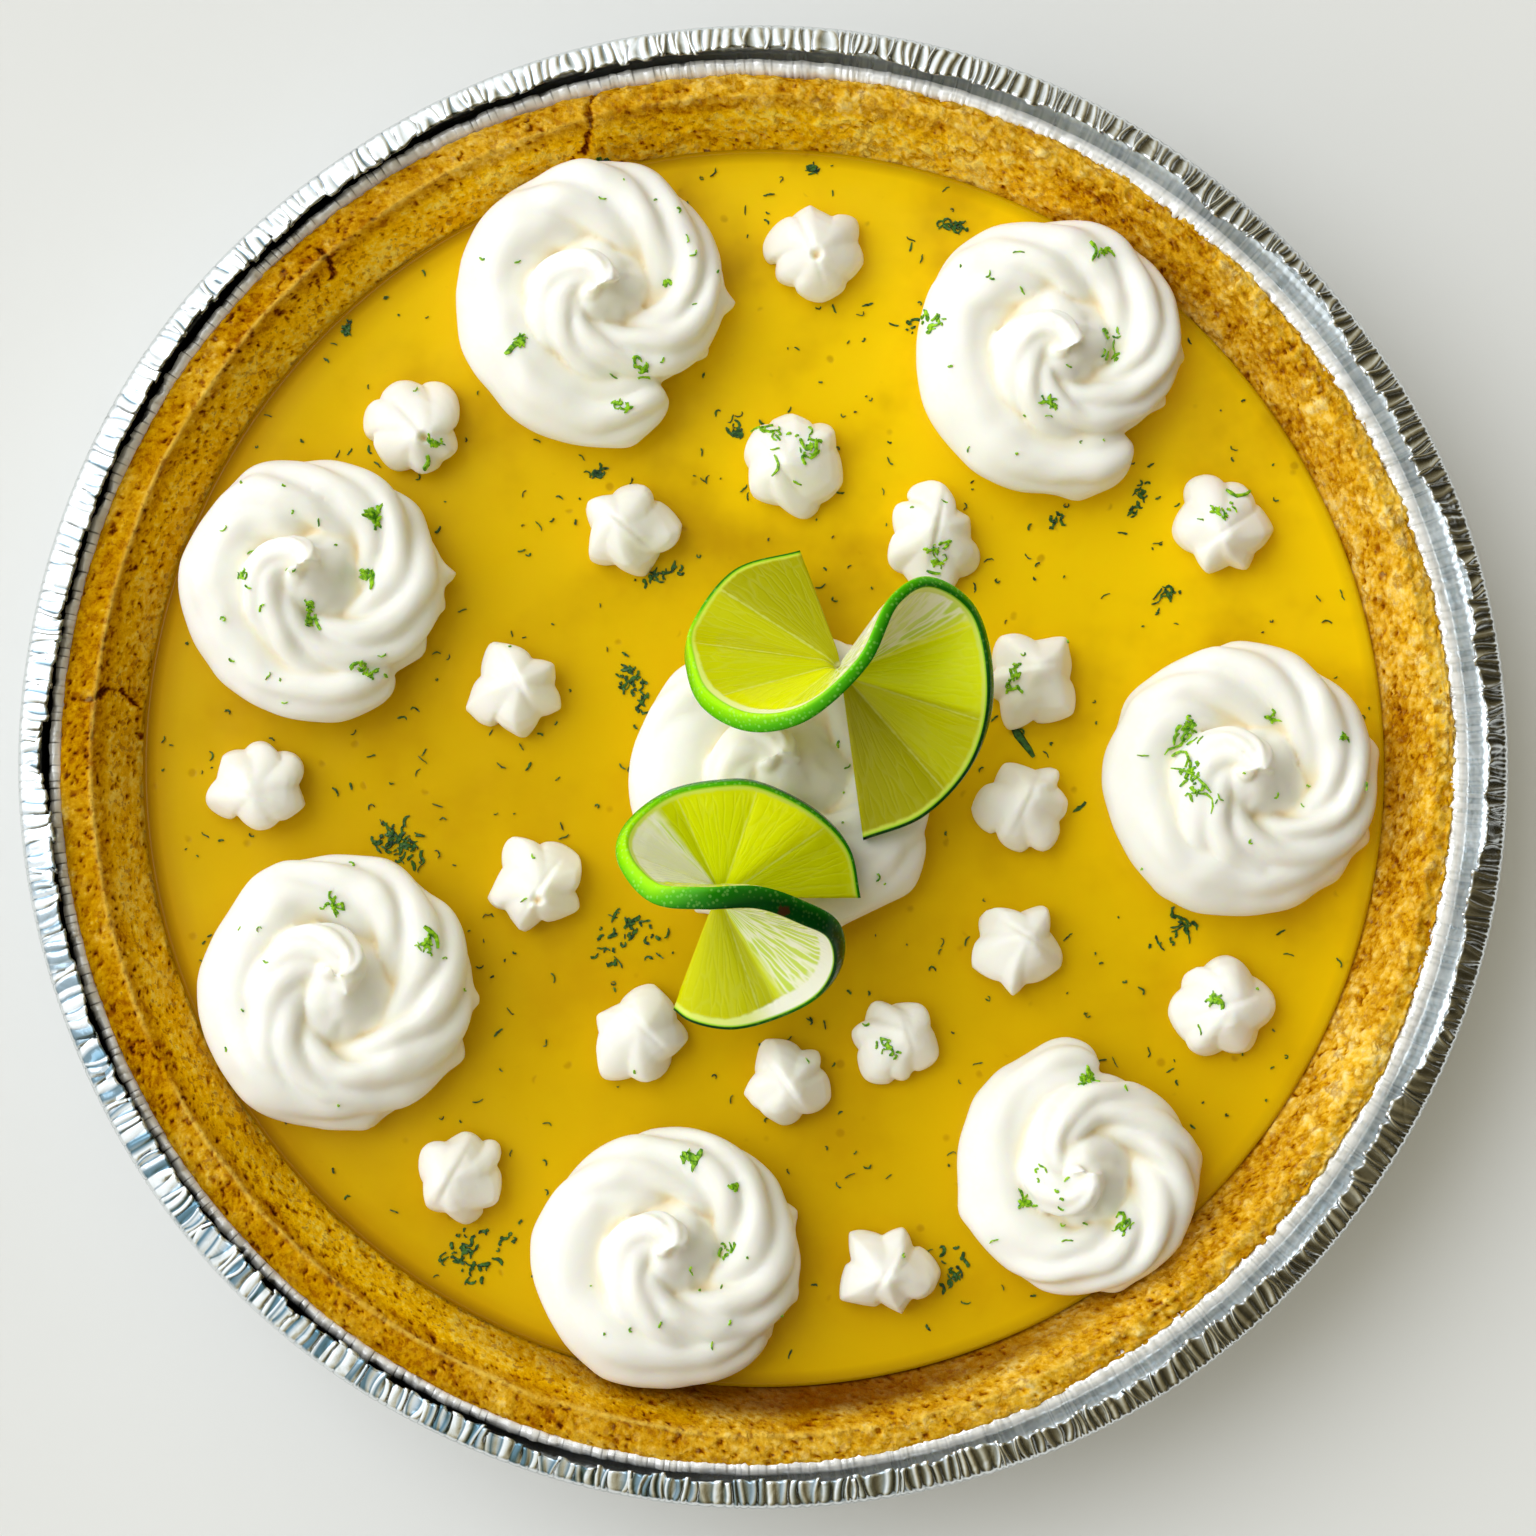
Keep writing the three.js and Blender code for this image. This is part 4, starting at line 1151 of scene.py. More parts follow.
def press_star(number, star):
    """One star: lobes of its own, narrowing in levels to a tip that was pinched off."""
    x, y, size, lobes, turn, stretch, toward, hole = star
    own = np.random.default_rng(100 + number)
    round_it = np.linspace(0, 2 * math.pi, 120, endpoint=False)
    edges = np.arange(lobes + 1) + np.append(own.uniform(-0.22, 0.22, lobes), 0)
    edges[-1] = edges[0] + lobes
    place = (round_it * lobes / (2 * math.pi) - edges[0]) % lobes + edges[0]
    which = np.clip(np.searchsorted(edges, place, side="right") - 1, 0, lobes - 1)
    across = 2 * (place - edges[which]) / (edges[which + 1] - edges[which]) - 1
    reach = own.uniform(0.78, 1.1, lobes)[which]
    five = lobes == 5
    pointed = own.uniform(0.75, 1.2 if five else 2.2, lobes)[which]
    depth = own.uniform(0.19, 0.26) if five else own.uniform(0.1, 0.18)
    bend = own.uniform(0, 40)
    tip = own.uniform(-2.2, 2.2, 2)
    lobe_shape = 1 - np.abs(across) ** pointed
    axis = math.radians(toward)
    along = np.array([math.cos(axis), math.sin(axis)])
    sections = []
    for share, level in STAR_LEVELS:
        deep = depth * mix(1.25, 0.8, level)
        out = STAR_RADIUS * size * share * (1 - deep + deep * lobe_shape) * mix(reach, 1, level)
        direction = round_it + math.radians(turn - bend * level)
        flat = np.stack([out * np.cos(direction), out * np.sin(direction)], axis=1)
        flat += np.outer(flat @ along, along) * (stretch - 1)
        flat += tip * level**2
        sections.append(np.column_stack([flat, np.full(len(flat), STAR_HEIGHT * size * level)]))
    peak = np.array([*tip, STAR_HEIGHT * size])
    points, faces = tube(sections, peak)
    points += 0.9 * np.stack([noise(points + [x, y, 0], 5.0, 200 + k) for k in range(3)], axis=1)
    points += [x, y, CREAM_BASE]
    piece = from_points(f"cream_star_{number}_piped", points, faces)
    soften(piece, STAR_VOXEL, 4, CREAM_BASE)

    # The tip was pinched off: one side of a line over the top stands a little higher.
    points = read_points(piece)
    top = points[np.argmax(points[:, 2])]
    heading = own.uniform(0, 2 * math.pi)
    over = (points - top)[:, :2] @ np.array([math.cos(heading), math.sin(heading)])
    high_up = smooth((points[:, 2] - CREAM_BASE) / STAR_HEIGHT - 0.35)
    pinch = own.uniform(0.5, 1.1)
    points[:, 2] += high_up * pinch * (smooth(0.5 + over / 0.9) - 0.5 - 0.5 * np.exp(-((over / 0.5) ** 2)))
    torn = np.linalg.norm((points - top)[:, :2] - [0.4, -0.5], axis=1)
    inside = np.exp(-((torn / 0.7) ** 2)) * hole
    points[:, 2] -= 1.8 * inside
    points[:, 2] = np.maximum(points[:, 2], CREAM_BASE)
    write_points(piece, points)
    # Painted shade: warm tint in the air hole and the hollows, and painted bounce light near the custard.
    store(piece, "hollow", np.maximum.reduce([inside, hollowness(piece, 40, 0.7), near_custard(piece)]))
    finish_piece(piece, CREAM, [f"cream_star_{number}"])
    return piece


cream_pieces += [press_star(k + 1, star) for k, star in enumerate(STARS)]

# %% [markdown]
# ## The lime twists
#
# Each twist is a lime wheel 2 to 3.5 mm thick, cut once from the rim to the
# middle and turned into an S. A wheel of fruit doesn't stretch, so every line
# from its middle to its rim stays straight, and the wheel is a cone over a
# curve of such lines. The mesh follows that rule. Each point also stores how far
# it lies from the peel and from the nearest wall between two segments, in mm,
# and the material draws peel, pith, walls and flesh from these distances.

# %% Rays of the two wheels
# middle in mm; rays: azimuth and elevation in degrees and length in mm of each ray.
# The rest are (share of the rim's length, value) pairs. dark: green of the peel,
# darkened by painted shade; pith: its width in mm; painted_glare: painted glare on
# the flesh; painted_flesh_shade: painted shade on the flesh; thick: the wheel's
# thickness in mm.
TWISTS = [
    dict(
        name="lime_twist_1",
        middle=(12.4, 12.8, 38.6),
        rays=[
            (108.6, -27, 23.8), (136.5, -16.8, 25), (164.6, -3, 25.1), (178.4, 15.7, 25.3),
            (193.5, 26.9, 25.4), (213.6, 45.9, 25.4), (234.3, 64.7, 25.3), (-19.2, 83.3, 25.2),
            (49, 61.8, 25.3), (43.2, 44.1, 25.4), (22.4, 27.3, 25.2), (-8.7, 19.9, 25.2),
            (-35, 0.6, 25.4), (-60.2, -4, 26.4), (-82.2, -8, 27),
        ],
        dark=[
            (0, 0.95), (0.1, 0.9), (0.17, 0.3), (0.28, 0.12), (0.4, 0.3), (0.52, 0.5), (0.62, 0.4),
            (0.7, 0.5), (0.78, 0.75), (1, 0.95),
        ],
        pith=[
            (0, 0.3), (0.2, 0.4), (0.28, 1.0), (0.36, 1.7), (0.5, 1.9), (0.6, 1.4), (0.66, 0.55),
            (0.8, 0.45), (1, 0.4),
        ],
        painted_glare=[
            (0, 0), (0.36, 0), (0.44, 0.15), (0.49, 0.7), (0.58, 0.95), (0.64, 0.75), (0.68, 0.3),
            (0.7, 0), (1, 0),
        ],
        painted_flesh_shade=[
            (0, 0.9), (0.1, 0.85), (0.11, 0.62), (0.2, 0.6), (0.21, 0.34), (0.3, 0.3), (0.36, 0.1),
            (0.68, 0), (0.79, 0), (0.8, 0.6), (0.89, 0.65), (0.9, 0.9), (1, 1),
        ],
        thick=[(0, 3.0), (0.25, 3.5), (0.36, 3.0), (0.44, 2.1), (0.6, 1.7), (0.75, 2.2), (1, 2.8)],
    ),
    dict(
        name="lime_twist_2",
        middle=(-6.8, -22.6, 37.8),
        rays=[
            (0.1, -8.7, 22.4), (20.7, -2, 21.8), (41, 8, 20.3), (72, 15, 19.2), (90, 18, 18.7),
            (116.7, 19, 19), (139.3, 24, 19.8), (151.7, 31, 20.5), (163.7, 44, 21.2),
            (183.2, 63, 21.9), (206.2, 81.8, 22.4), (-11.7, 73.6, 22.6), (-15.1, 53.5, 22.9),
            (-18.5, 36.5, 23.4), (-30.1, 18.7, 23), (-44.3, 4, 22.5), (-63.9, -7.6, 21.6),
            (-84.5, -10.2, 21.5), (-102.4, -14.1, 21), (-111.1, -18.8, 20.4),
        ],
        dark=[
            (0, 0.95), (0.15, 0.75), (0.3, 0.5), (0.38, 0.05), (0.47, 0.12), (0.56, 0.8), (0.62, 1),
            (0.76, 1), (0.82, 0.45), (0.9, 0.6), (1, 0.95),
        ],
        pith=[
            (0, 0.3), (0.3, 0.5), (0.42, 0.7), (0.55, 0.5), (0.62, 1.3), (0.72, 2.2), (0.85, 2.4),
            (0.93, 1.0), (1, 0.6),
        ],
        painted_glare=[
            (0, 0), (0.31, 0), (0.34, 1), (0.46, 1), (0.47, 0.1), (0.58, 0.3), (0.62, 0.5),
            (0.84, 0.45), (0.86, 0.05), (1, 0),
        ],
        painted_flesh_shade=[(0, 0.3), (0.12, 0.2), (0.13, 0), (0.86, 0), (0.87, 0.6), (1, 0.5)],
        thick=[(0, 2.8), (0.3, 2.4), (0.42, 2.6), (0.5, 3.4), (0.66, 3.5), (0.75, 2.6), (1, 2.4)],
    ),
]
SEGMENTS = 10
STEPS_PER_SEGMENT = 22


def ray_end(ray):
    azimuth, elevation = math.radians(ray[0]), math.radians(ray[1])
    flat = math.cos(elevation)
    return ray[2] * np.array([flat * math.cos(azimuth), flat * math.sin(azimuth), math.sin(elevation)])


def curve_through(ends, per_stretch=24):
    """A centripetal Catmull-Rom curve through the ends of the rays."""
    ends = [2 * ends[0] - ends[1], *ends, 2 * ends[-1] - ends[-2]]
    made = []
    for p0, p1, p2, p3 in zip(ends, ends[1:], ends[2:], ends[3:]):
        d0, d1, d2 = (math.sqrt(np.linalg.norm(b - a)) for a, b in ((p0, p1), (p1, p2), (p2, p3)))
        leave = d1 * ((p1 - p0) / d0 - (p2 - p0) / (d0 + d1) + (p2 - p1) / d1)
        arrive = d1 * ((p2 - p1) / d1 - (p3 - p1) / (d1 + d2) + (p3 - p2) / d2)
        for t in np.linspace(0, 1, per_stretch, endpoint=False):
            bend = (2 * p1 - 2 * p2 + leave + arrive) * t**3 + (3 * p2 - 3 * p1 - 2 * leave - arrive) * t**2
            made.append(bend + leave * t + p1)
    made.append(ends[-2])
    return np.array(made)


def cut_wheel(twist, number):
    """One twisted wheel, with its distances from peel, wall and middle stored at each point."""
    rim = curve_through([ray_end(ray) for ray in twist["rays"]])
    run = np.concatenate([[0], np.cumsum(np.linalg.norm(np.diff(rim, axis=0), axis=1))])
    own = np.random.default_rng(300 + number)
    widths = own.uniform(0.8, 1.2, SEGMENTS)
    walls = np.concatenate([[0], np.cumsum(widths)]) / widths.sum()
    at = np.concatenate([
        np.linspace(a, b, STEPS_PER_SEGMENT, endpoint=False) for a, b in zip(walls, walls[1:])
    ] + [[1.0]])
    # the first and the last segment were cut through, so no wall lies at the slit
    inner_walls = walls[1:-1]
    ends = np.stack([np.interp(at * run[-1], run, rim[:, k]) for k in range(3)], axis=1)
    length = np.linalg.norm(ends, axis=1)
    rays = ends / length[:, None]
    along = np.gradient(ends, axis=0)
    along /= np.linalg.norm(along, axis=1)[:, None]
    normal = np.cross(rays, along)
    normal /= np.linalg.norm(normal, axis=1)[:, None]

    # Across a section: out over one face, round the peel, and back over the other face.
    out_share = np.concatenate([np.linspace(0.04, 0.86, 26), np.linspace(0.875, 0.985, 9)])
    peel_turn = np.linspace(0, math.pi, 9)[1:-1]
    sections = []
    shares = {name: np.interp(at, *np.array(twist[name]).T) for name in ("dark", "pith", "painted_glare", "painted_flesh_shade")}
    stores = {name: [] for name in ("peel", "wall", "middle", "run", "segment", *shares)}
    thick = np.interp(at, *np.array(twist["thick"]).T)
    print("face that is up at a quarter of the rim:", round(float(normal[len(at) // 4][2]), 2))
    for k, share in enumerate(at):
        half = thick[k] / 2
        reach = length[k]
        out = out_share * reach
        lift = half * smooth(out / 5 + 0.25)
        gap = np.min(np.abs(share - inner_walls)) * run[-1]
        wall = gap * out_share
        # flesh swells between the walls, and sinks a little next to the pith
        swell = 0.16 * smooth(wall / 1.2) * smooth((0.87 - out_share) / 0.05)
        face = lift + swell
        upper = rays[k] * out[:, None] + normal[k] * face[:, None]
        lower = rays[k] * out[:, None] - normal[k] * face[:, None]
        bulge = rays[k] * (reach * 0.985 + 0.015 * reach * np.sin(peel_turn) ** 0.6)[:, None]
        side = np.sign(np.cos(peel_turn)) * np.abs(np.cos(peel_turn)) ** 0.7
        peel = bulge + normal[k] * (half * side)[:, None]
        sections.append(np.concatenate([upper, peel, lower[::-1]]) + twist["middle"])
        many = len(peel)
        stores["peel"].append(np.concatenate([reach - out, np.zeros(many), (reach - out)[::-1]]))
        stores["wall"].append(np.concatenate([wall, np.full(many, gap), wall[::-1]]))
        stores["middle"].append(np.concatenate([out, np.full(many, reach), out[::-1]]))
        total = len(sections[-1])
        stores["run"].append(np.full(total, share * run[-1]))
        which = int(np.searchsorted(inner_walls, share))
        stores["segment"].append(np.full(total, (which * 0.618 + 0.21 * number) % 1))
        for name, values in shares.items():
            stores[name].append(np.full(total, values[k]))
        # Painted shade: the peel is darker on one face of the wheel than on the other.
        face_count = len(out_share)
        across = np.concatenate([np.ones(face_count), np.cos(peel_turn), -np.ones(face_count)])
        stores["dark"][-1] = stores["dark"][-1] - 0.28 * across
    points, faces = tube(sections)
    piece = from_points(f"{twist['name']}_wheel", points, faces)
    for name, rows in stores.items():
        values = np.concatenate(rows)
        values = np.concatenate([values, [values[0], values[-1]]])
        store(piece, name, values)
    print(f"{piece.name}: rim {run[-1]:.0f} mm long, {len(sections)} rays of {len(sections[0])} points")
    face_outwards(piece)
    return piece


# %% Lime peel, pith and flesh
SACS_PER_MM = 0.6  # the attributes that place the sacs are in mm
# place in mm, half width in mm and colour of a scar and of a dark end of the peel
PEEL_MARKS = [((3.2, -25.9, 58.0), 1.1, "3c2410"), ((15.6, -14.4, 36.0), 1.6, "0c1406")]


def lime_material():
    """A cut lime: waxy peel with oil glands, white pith, and wet see-through juice sacs."""
    material, tree, shader, where = new_material("cut_lime")
    peel, wall, middle, run = (attribute(tree, name) for name in ("peel", "wall", "middle", "run"))
    painted_glare, pith_width, dark = (attribute(tree, name) for name in ("painted_glare", "pith", "dark"))

    # juice sacs: long cells that point at the middle
    sac_place = add(tree, "ShaderNodeCombineXYZ", links={"X": run, "Y": times(tree, middle, 0.2)})
    wobble = noise_texture(tree, where, 260, 1).node.outputs["Color"]
    moved = {0: sac_place.outputs["Vector"], 1: wobble}
    bent = add(tree, "ShaderNodeVectorMath", links=moved, operation="ADD").outputs["Vector"]
    sacs = cell_texture(tree, bent, SACS_PER_MM).node.outputs["Color"]
    skins = cell_texture(tree, bent, SACS_PER_MM, feature="DISTANCE_TO_EDGE")
    tone = calculate(tree, "MULTIPLY_ADD", sacs, 0.05, times(tree, attribute(tree, "segment"), 0.85))
    flesh = ramp(tree, tone, [(0.0, "d2dc00"), (0.45, "e2ea00"), (1.0, "f2f800")])
    # Painted shade: the flesh is darker olive where shaded custard shows through.
    flesh = tint(tree, "painted_flesh_shade", 0.8, flesh, "968c00")
    flesh = blend(tree, times(tree, spread(tree, skins, 0.1, 0.0), 0.04), flesh, "eef4a0")
    # Painted highlight: the flesh turns pale where glare is painted on it.
    glare = ramp(tree, painted_glare, [(0.45, "cfe668"), (0.7, "e6f2a0"), (1.0, "fafee8")])
    pale = blend(tree, spread(tree, skins, 0.0, 0.25), "fcfff0", glare)
    flesh = blend(tree, times(tree, spread(tree, painted_glare, 0.0, 0.55), 0.92), flesh, pale)

    # walls between the segments, the core and the pith
    ragged = noise_texture(tree, where, 900, 2)
    jitter = times(tree, minus(tree, ragged, 0.5), 0.5)
    wall_edge = spread(tree, calculate(tree, "ADD", wall, jitter), 0.28, 0.0)
    flesh = blend(tree, times(tree, wall_edge, 0.4), flesh, "e4e880")
    core = spread(tree, calculate(tree, "ADD", middle, jitter), 1.7, 1.0)
    flesh = blend(tree, core, flesh, "eef0b0")
    pith_edge = minus(tree, calculate(tree, "ADD", peel, jitter), pith_width)
    ripe = times(tree, pith_width, 0.5)
    pith_tone = ramp(tree, ripe, [(0.08, "c4d428"), (0.25, "d8e660"), (0.7, "e8f0a0"), (1.0, "fafce6")])
    flesh = blend(tree, spread(tree, pith_edge, 1.15, 0.6), flesh, pith_tone)
    flesh = blend(tree, spread(tree, peel, 0.95, 0.6), flesh, "9ad418")

    # peel: pale glands on green that goes from lime green to dark green
    dots = spread(tree, cell_texture(tree, where, 1250, 0.8), 0.42, 0.16)
    # Painted shade: the peel's green darkens from lime green to dark green by place.
    green = ramp(tree, dark, [(0.0, "a0e808"), (0.3, "50b400"), (0.6, "1c7804"), (1.0, "023c0c")])
    seen = calculate(tree, "MAXIMUM", minus(tree, 0.4, times(tree, dark, 0.36)), 0.03)
    green = blend(tree, times(tree, dots, seen), green, "b4e878")
    for place, wide, hex_value in PEEL_MARKS:
        middle_of_it = [c * MM for c in place]
        far = add(tree, "ShaderNodeVectorMath", {1: middle_of_it}, {0: where}, operation="DISTANCE")
        level = minus(tree, far.outputs["Value"], 0.0015)
        rough = calculate(tree, "MULTIPLY_ADD", ragged, 0.003, level)
        green = blend(tree, spread(tree, rough, wide * MM, 0.5 * wide * MM), green, hex_value)
    is_peel = spread(tree, peel, 0.65, 0.45)
    final = blend(tree, is_peel, flesh, green)

    sac_height = times(tree, spread(tree, skins, 0.0, 0.2), spread(tree, peel, 1.6, 2.4))
    height = minus(tree, sac_height, times(tree, dots, is_peel))
    settings = {
        "Roughness": 0.18,
        "Specular IOR Level": 0.1,
        "Subsurface Weight": 0.45,
        "Subsurface Radius": (1.0, 0.9, 0.03),
        "Subsurface Scale": 0.003,
    }
    complete(tree, shader, final, (height, 0.16, 0.0004), settings)
    return material


LIME = lime_material()
lime_pieces = []
for number, twist in enumerate(TWISTS):
    wheel = cut_wheel(twist, number)
    finish_piece(wheel, LIME, [twist["name"]])
    lime_pieces.append(wheel)

# %% [markdown]
# ## The zest
#
# Grated peel falls as short curled shreds, some alone and some in tangles. On
# the wet custard they look dark, and on the cream they stay bright. Each shred
# is a thin bent strip with uneven sides. It's dropped from above and lies on
# whatever it hits first, so a ray finds its place.

# %% Zest shreds
ZEST_RINGS = 6
ZEST_THICKNESS = 0.28
SCATTERED = 620


def shred(own, length, width, curled):
    """Points and faces of one curled shred, lying along X about the origin."""
    curl = own.normal(0, 2.3)
    turns = np.full(ZEST_RINGS, curl / ZEST_RINGS) + own.normal(0, 0.35, ZEST_RINGS)
    heading = curled * np.cumsum(turns)
    step = length / (ZEST_RINGS - 1)
    steps = np.stack([np.cos(heading), np.sin(heading), own.normal(0, 0.12, ZEST_RINGS)], axis=1)
    path = np.cumsum(steps * step, axis=0)
    path -= path.mean(0)
    sections = []
    for k, place in enumerate(path):
        side = np.array([-math.sin(heading[k]), math.cos(heading[k]), 0])
        end = 0.55 if k in (0, ZEST_RINGS - 1) else 1
        half = 0.5 * width * end * own.uniform(0.7, 1.25)
        up = [0, 0, ZEST_THICKNESS * own.uniform(0.8, 1.2)]
        corners = [side * half, side * half * 0.6 + up, -side * half * 0.6 + up, -side * half]
        sections.append(np.array([place + corner for corner in corners]))
    return tube(sections)


def surfaces():
    """A search tree over all that zest can land on."""
    points, faces, kinds, shift = [], [], [], 0
    for piece in [crust, custard, tin, *cream_pieces, *lime_pieces]:
        mesh = piece.data
        kind = "cream" if piece in cream_pieces else "lime" if piece in lime_pieces else piece.name
        points += [tuple(v) for v in read_points(piece)]
        faces += [tuple(v + shift for v in polygon.vertices) for polygon in mesh.polygons]
        kinds += [kind] * len(mesh.polygons)
        shift += len(mesh.vertices)
    return BVHTree.FromPolygons(points, faces), kinds


def drop_zest():
    """All shreds, as points and faces, in one heap for the cream and one for all else."""
    own = np.random.default_rng(77)
    tree, kinds = surfaces()
    heaps = {"custard": [], "cream": []}

    def land(x, y, length, width, turn, on_cream=1.0, curled=1.0):
        place, normal, index, _ = tree.ray_cast(Vector((x, y, 90)), Vector((0, 0, -1)))
        if place is None or kinds[index] == "lime" or normal.z < 0.25:
            return
        if kinds[index] == "cream" and own.random() > on_cream:
            return
        points, faces = shred(own, length, width, curled)
        c, s = math.cos(turn), math.sin(turn)
        across = np.array([[c, -s, 0], [s, c, 0], [0, 0, 1]])
        lay = np.array(Vector((0, 0, 1)).rotation_difference(normal).to_matrix())
        sunk = np.array(normal) * own.uniform(-0.1, 0.12)
        points = points @ across.T @ lay.T + np.array(place) + sunk
        heaps["cream" if kinds[index] == "cream" else "custard"].append((points, faces))

    # scattered shreds, fewer near the crust
    for _ in range(SCATTERED):
        radius, angle = 99 * math.sqrt(own.random()), own.uniform(0, 2 * math.pi)
        land(
            radius * math.cos(angle), radius * math.sin(angle),
            own.uniform(0.35, 2.0), own.uniform(0.2, 0.4), own.uniform(0, 2 * math.pi), 0.4,
        )
    # A clump is a chain of tangles: each next shred lies near the last one.
    for x, y, count, wide in CLUMPS:
        at = np.array([x, y])
        for _ in range(int(2.4 * count)):
            at = mix(at + own.normal(0, 0.75 * wide, 2), np.array([x, y]), 0.14)
            land(*at, own.uniform(0.6, 2.4), own.uniform(0.28, 0.7), own.uniform(0, 2 * math.pi))
    # The widest ones are strips of rind, too stiff to curl.
    for x, y, length, width, turn in LONG_SHREDS:
        land(x, y, length, width, math.radians(turn), curled=0.12 if width > 1 else 1.0)
    return heaps


# x, y, length and width in mm, and direction in degrees
LONG_SHREDS = [
    (66.5, -0.5, 7.5, 0.5, 20), (68.0, -4.0, 8.5, 0.55, 100), (70.0, -7.5, 6.0, 0.5, 60),
    (66.0, 1.5, 5.5, 0.45, 150), (41.9, 3.6, 7.4, 1.3, -58), (51.4, -7.6, 2.6, 0.8, -20),
    (-26.2, 96.4, 5.0, 0.9, -60), (-27.4, 98.0, 4.0, 0.7, 20), (-62.5, 37.6, 5.0, 0.9, 80),
    (-61.6, 39.4, 3.5, 0.8, 30), (-62.8, 28.4, 4.5, 0.9, 0), (-71.5, 21.8, 4.0, 0.9, -35),
    (-52.5, -29.0, 4.5, 0.9, -30), (-10.6, -64.4, 4.0, 0.9, 60), (56.8, -73.6, 4.2, 0.7, 15),
    (41.0, -70.5, 3.6, 0.6, -10), (-8.0, 9.2, 3.6, 0.8, -45), (77.0, 43.0, 4.8, 0.8, -50),
    (53.2, 81.4, 4.0, 0.7, -30), (-40.0, 65.6, 4.0, 0.8, 70), (-54.6, 48.0, 3.0, 0.9, 60),
    (2.0, 47.0, 4.0, 0.6, 10), (8.0, 49.6, 4.6, 0.7, -20), (73.0, -40.0, 3.6, 0.7, 20),
]
# x, y in mm, number of shreds and how widely they lie
CLUMPS = [
    (-58.5, -13.0, 22, 1.9), (-49.3, -80.0, 18, 2.3), (-21.5, 13.2, 16, 1.5), (-24.0, -30.2, 16, 2.6),
    (66.8, -26.0, 8, 1.6), (5.4, 50.4, 12, 2.2), (-39.2, 66.0, 6, 0.9), (-26.6, 97.5, 6, 0.7),
    (-15.3, 76.9, 3, 0.5), (-19.8, 62.9, 5, 0.9), (-22.6, 57.0, 4, 1.0), (27.5, 72.3, 8, 1.4),
    (54.2, 81.2, 4, 1.1), (-63.5, 38.2, 9, 1.0), (-63.8, 28.4, 5, 0.8), (-72.6, 22.2, 7, 1.2),
    (-82.0, 29.0, 3, 1.0), (-64.0, 12.2, 6, 1.6), (66.5, 2.4, 10, 1.7), (68.6, -3.2, 8, 1.5),
    (80.8, 6.6, 3, 0.8), (92.6, 3.0, 2, 0.4), (-53.0, -29.6, 6, 1.0), (-67.5, -26.0, 4, 1.3),
    (-11.0, -64.7, 6, 0.8), (-4.6, -68.6, 3, 0.6), (-6.0, -79.5, 3, 1.2), (41.5, -71.0, 4, 1.2),
    (57.5, -74.0, 4, 1.0), (47.0, -68.0, 3, 2.4), (-8.6, 10.8, 9, 0.9), (1.5, 7.0, 4, 1.6),
    (41.0, 11.8, 7, 0.9), (56.2, 68.0, 5, 1.8), (32.0, 88.0, 7, 1.0), (8.6, 97.0, 4, 0.9),
    (-68.5, 70.5, 5, 0.7), (-54.0, 51.8, 4, 0.8), (29.5, -80.6, 8, 1.8), (61.0, 41.0, 7, 1.2),
    (27.0, 33.0, 7, 1.7), (75.5, 39.0, 5, 1.5), (-16.0, 30.0, 7, 1.4), (-4.3, 54.0, 6, 0.9),
    (-28.0, 47.0, 4, 1.5), (47.5, 40.0, 4, 1.0), (66.0, 27.0, 7, 1.5), (72.5, -38.6, 4, 0.9),
    (51.5, -51.0, 5, 0.9), (-12.6, -41.0, 4, 0.9), (21.0, -48.0, 4, 0.8), (46.0, 56.0, 5, 0.8),
]

# %% Zest material


def zest_material(name, fresh, deep, shine):
    """Grated peel: oily green specks, paler where the grater cut into pith."""
    material, tree, shader, where = new_material(name)
    green = ramp(tree, noise_texture(tree, where, 1300, 2), [(0.35, deep), (0.62, fresh)])
    complete(tree, shader, green, None, {"Roughness": shine, "Specular IOR Level": 0.3})
    return material


heaps = drop_zest()
ZEST_LOOKS = [("custard", "3c6c1c", "06301a", 0.35), ("cream", "a0d81c", "3c7c04", 0.45)]
for kind, fresh, deep, shine in ZEST_LOOKS:
    points, faces = join_tubes(heaps[kind])
    zest = from_points(f"lime_zest_on_{kind}", points, faces)
    face_outwards(zest)
    finish_piece(zest, zest_material(f"grated_zest_{kind}", fresh, deep, shine), flat=True)
    print(kind, "shreds:", len(heaps[kind]))

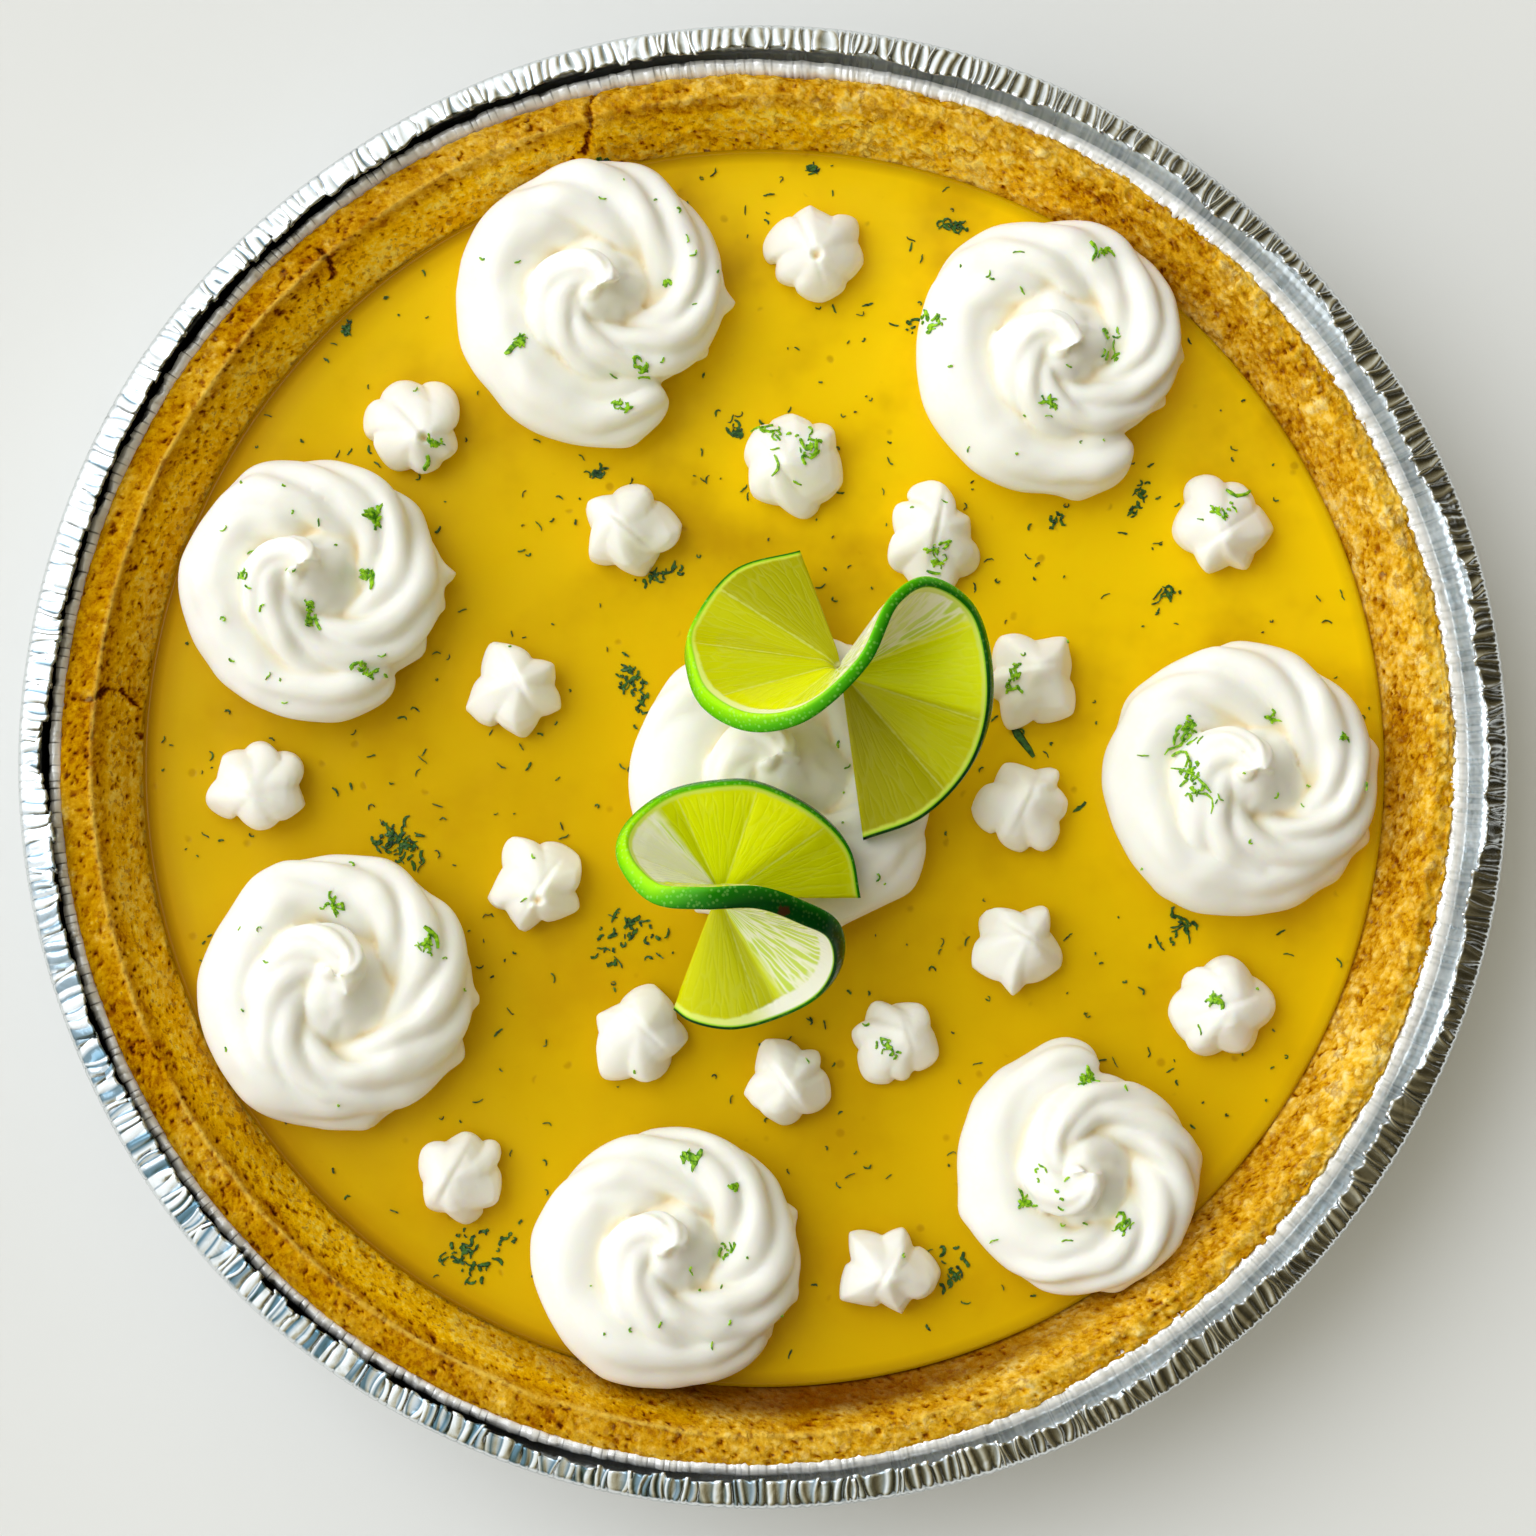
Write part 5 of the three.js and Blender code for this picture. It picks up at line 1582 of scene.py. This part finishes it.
# %% [markdown]
# ## The floor and the light
#
# The pie stands on a plain pale surface in soft light. Most of it comes from a
# wide window-like source on the left, which throws soft shadows to the right.
# The surroundings are pale all round and darker on the right, and the foil
# shows that, with painted reflections on top: white on the left, grey and white
# stripes on the right.

# %% Floor


def floor_material():
    """A plain matt tabletop, nearly white."""
    material, tree, shader, where = new_material("pale_tabletop")
    cloud = ramp(tree, noise_texture(tree, where, 3, 3), [(0.3, "e4e5e4"), (0.7, "eaebea")])
    complete(tree, shader, cloud, None, {"Roughness": 0.6, "Specular IOR Level": 0.2})
    return material


start_clean()
bpy.ops.mesh.primitive_plane_add(size=30)
floor = bpy.context.object
floor.name = "floor"
floor.data.materials.append(floor_material())

# %% Light
start_clean()
bpy.ops.object.light_add(type="SUN")
window = bpy.context.object
window.name = "window_light"
window.data.energy = 1.15
window.data.angle = math.radians(50)
window.data.color = colour("eef5ff")[:3]
window.rotation_euler = Vector((0.75, -0.4, -0.95)).to_track_quat("-Z", "Y").to_euler()

world = bpy.data.worlds.new("studio")
bpy.context.scene.world = world
world.use_nodes = True
tree = world.node_tree
tree.nodes.clear()
facing = add(tree, "ShaderNodeTexCoord").outputs["Generated"]
toward = add(tree, "ShaderNodeVectorMath", {1: (-0.85, 0.3, 0.43)}, {0: facing}, operation="DOT_PRODUCT")
side = add(tree, "ShaderNodeMapRange", {1: -0.6, 2: 0.9}, {"Value": toward.outputs["Value"]})
SKY = [(0.0, "2a2412"), (0.3, "6a5e3e"), (0.52, "aea588"), (0.75, "e2e4e0"), (1.0, "ffffff")]
sky = ramp(tree, side.outputs["Result"], SKY)
# The ceiling straight above is darker, and that is what level wet and metal faces mirror.
ceiling = add(tree, "ShaderNodeVectorMath", {1: (0.0, 0.05, 0.9987)}, {0: facing}, operation="DOT_PRODUCT")
dark = spread(tree, ceiling.outputs["Value"], 0.97, 0.986)
sky = blend(tree, times(tree, dark, 0.93), sky, "000000")
background = add(tree, "ShaderNodeBackground", {"Strength": 1.4}, {"Color": sky})
add(tree, "ShaderNodeOutputWorld", links={"Surface": background.outputs["Background"]})

bpy.context.scene.view_settings.view_transform = "Standard"

# %% Sizes and the end
print("CAD box:", [[round(v / MM, 1) for v in corner] for corner in cad_box])
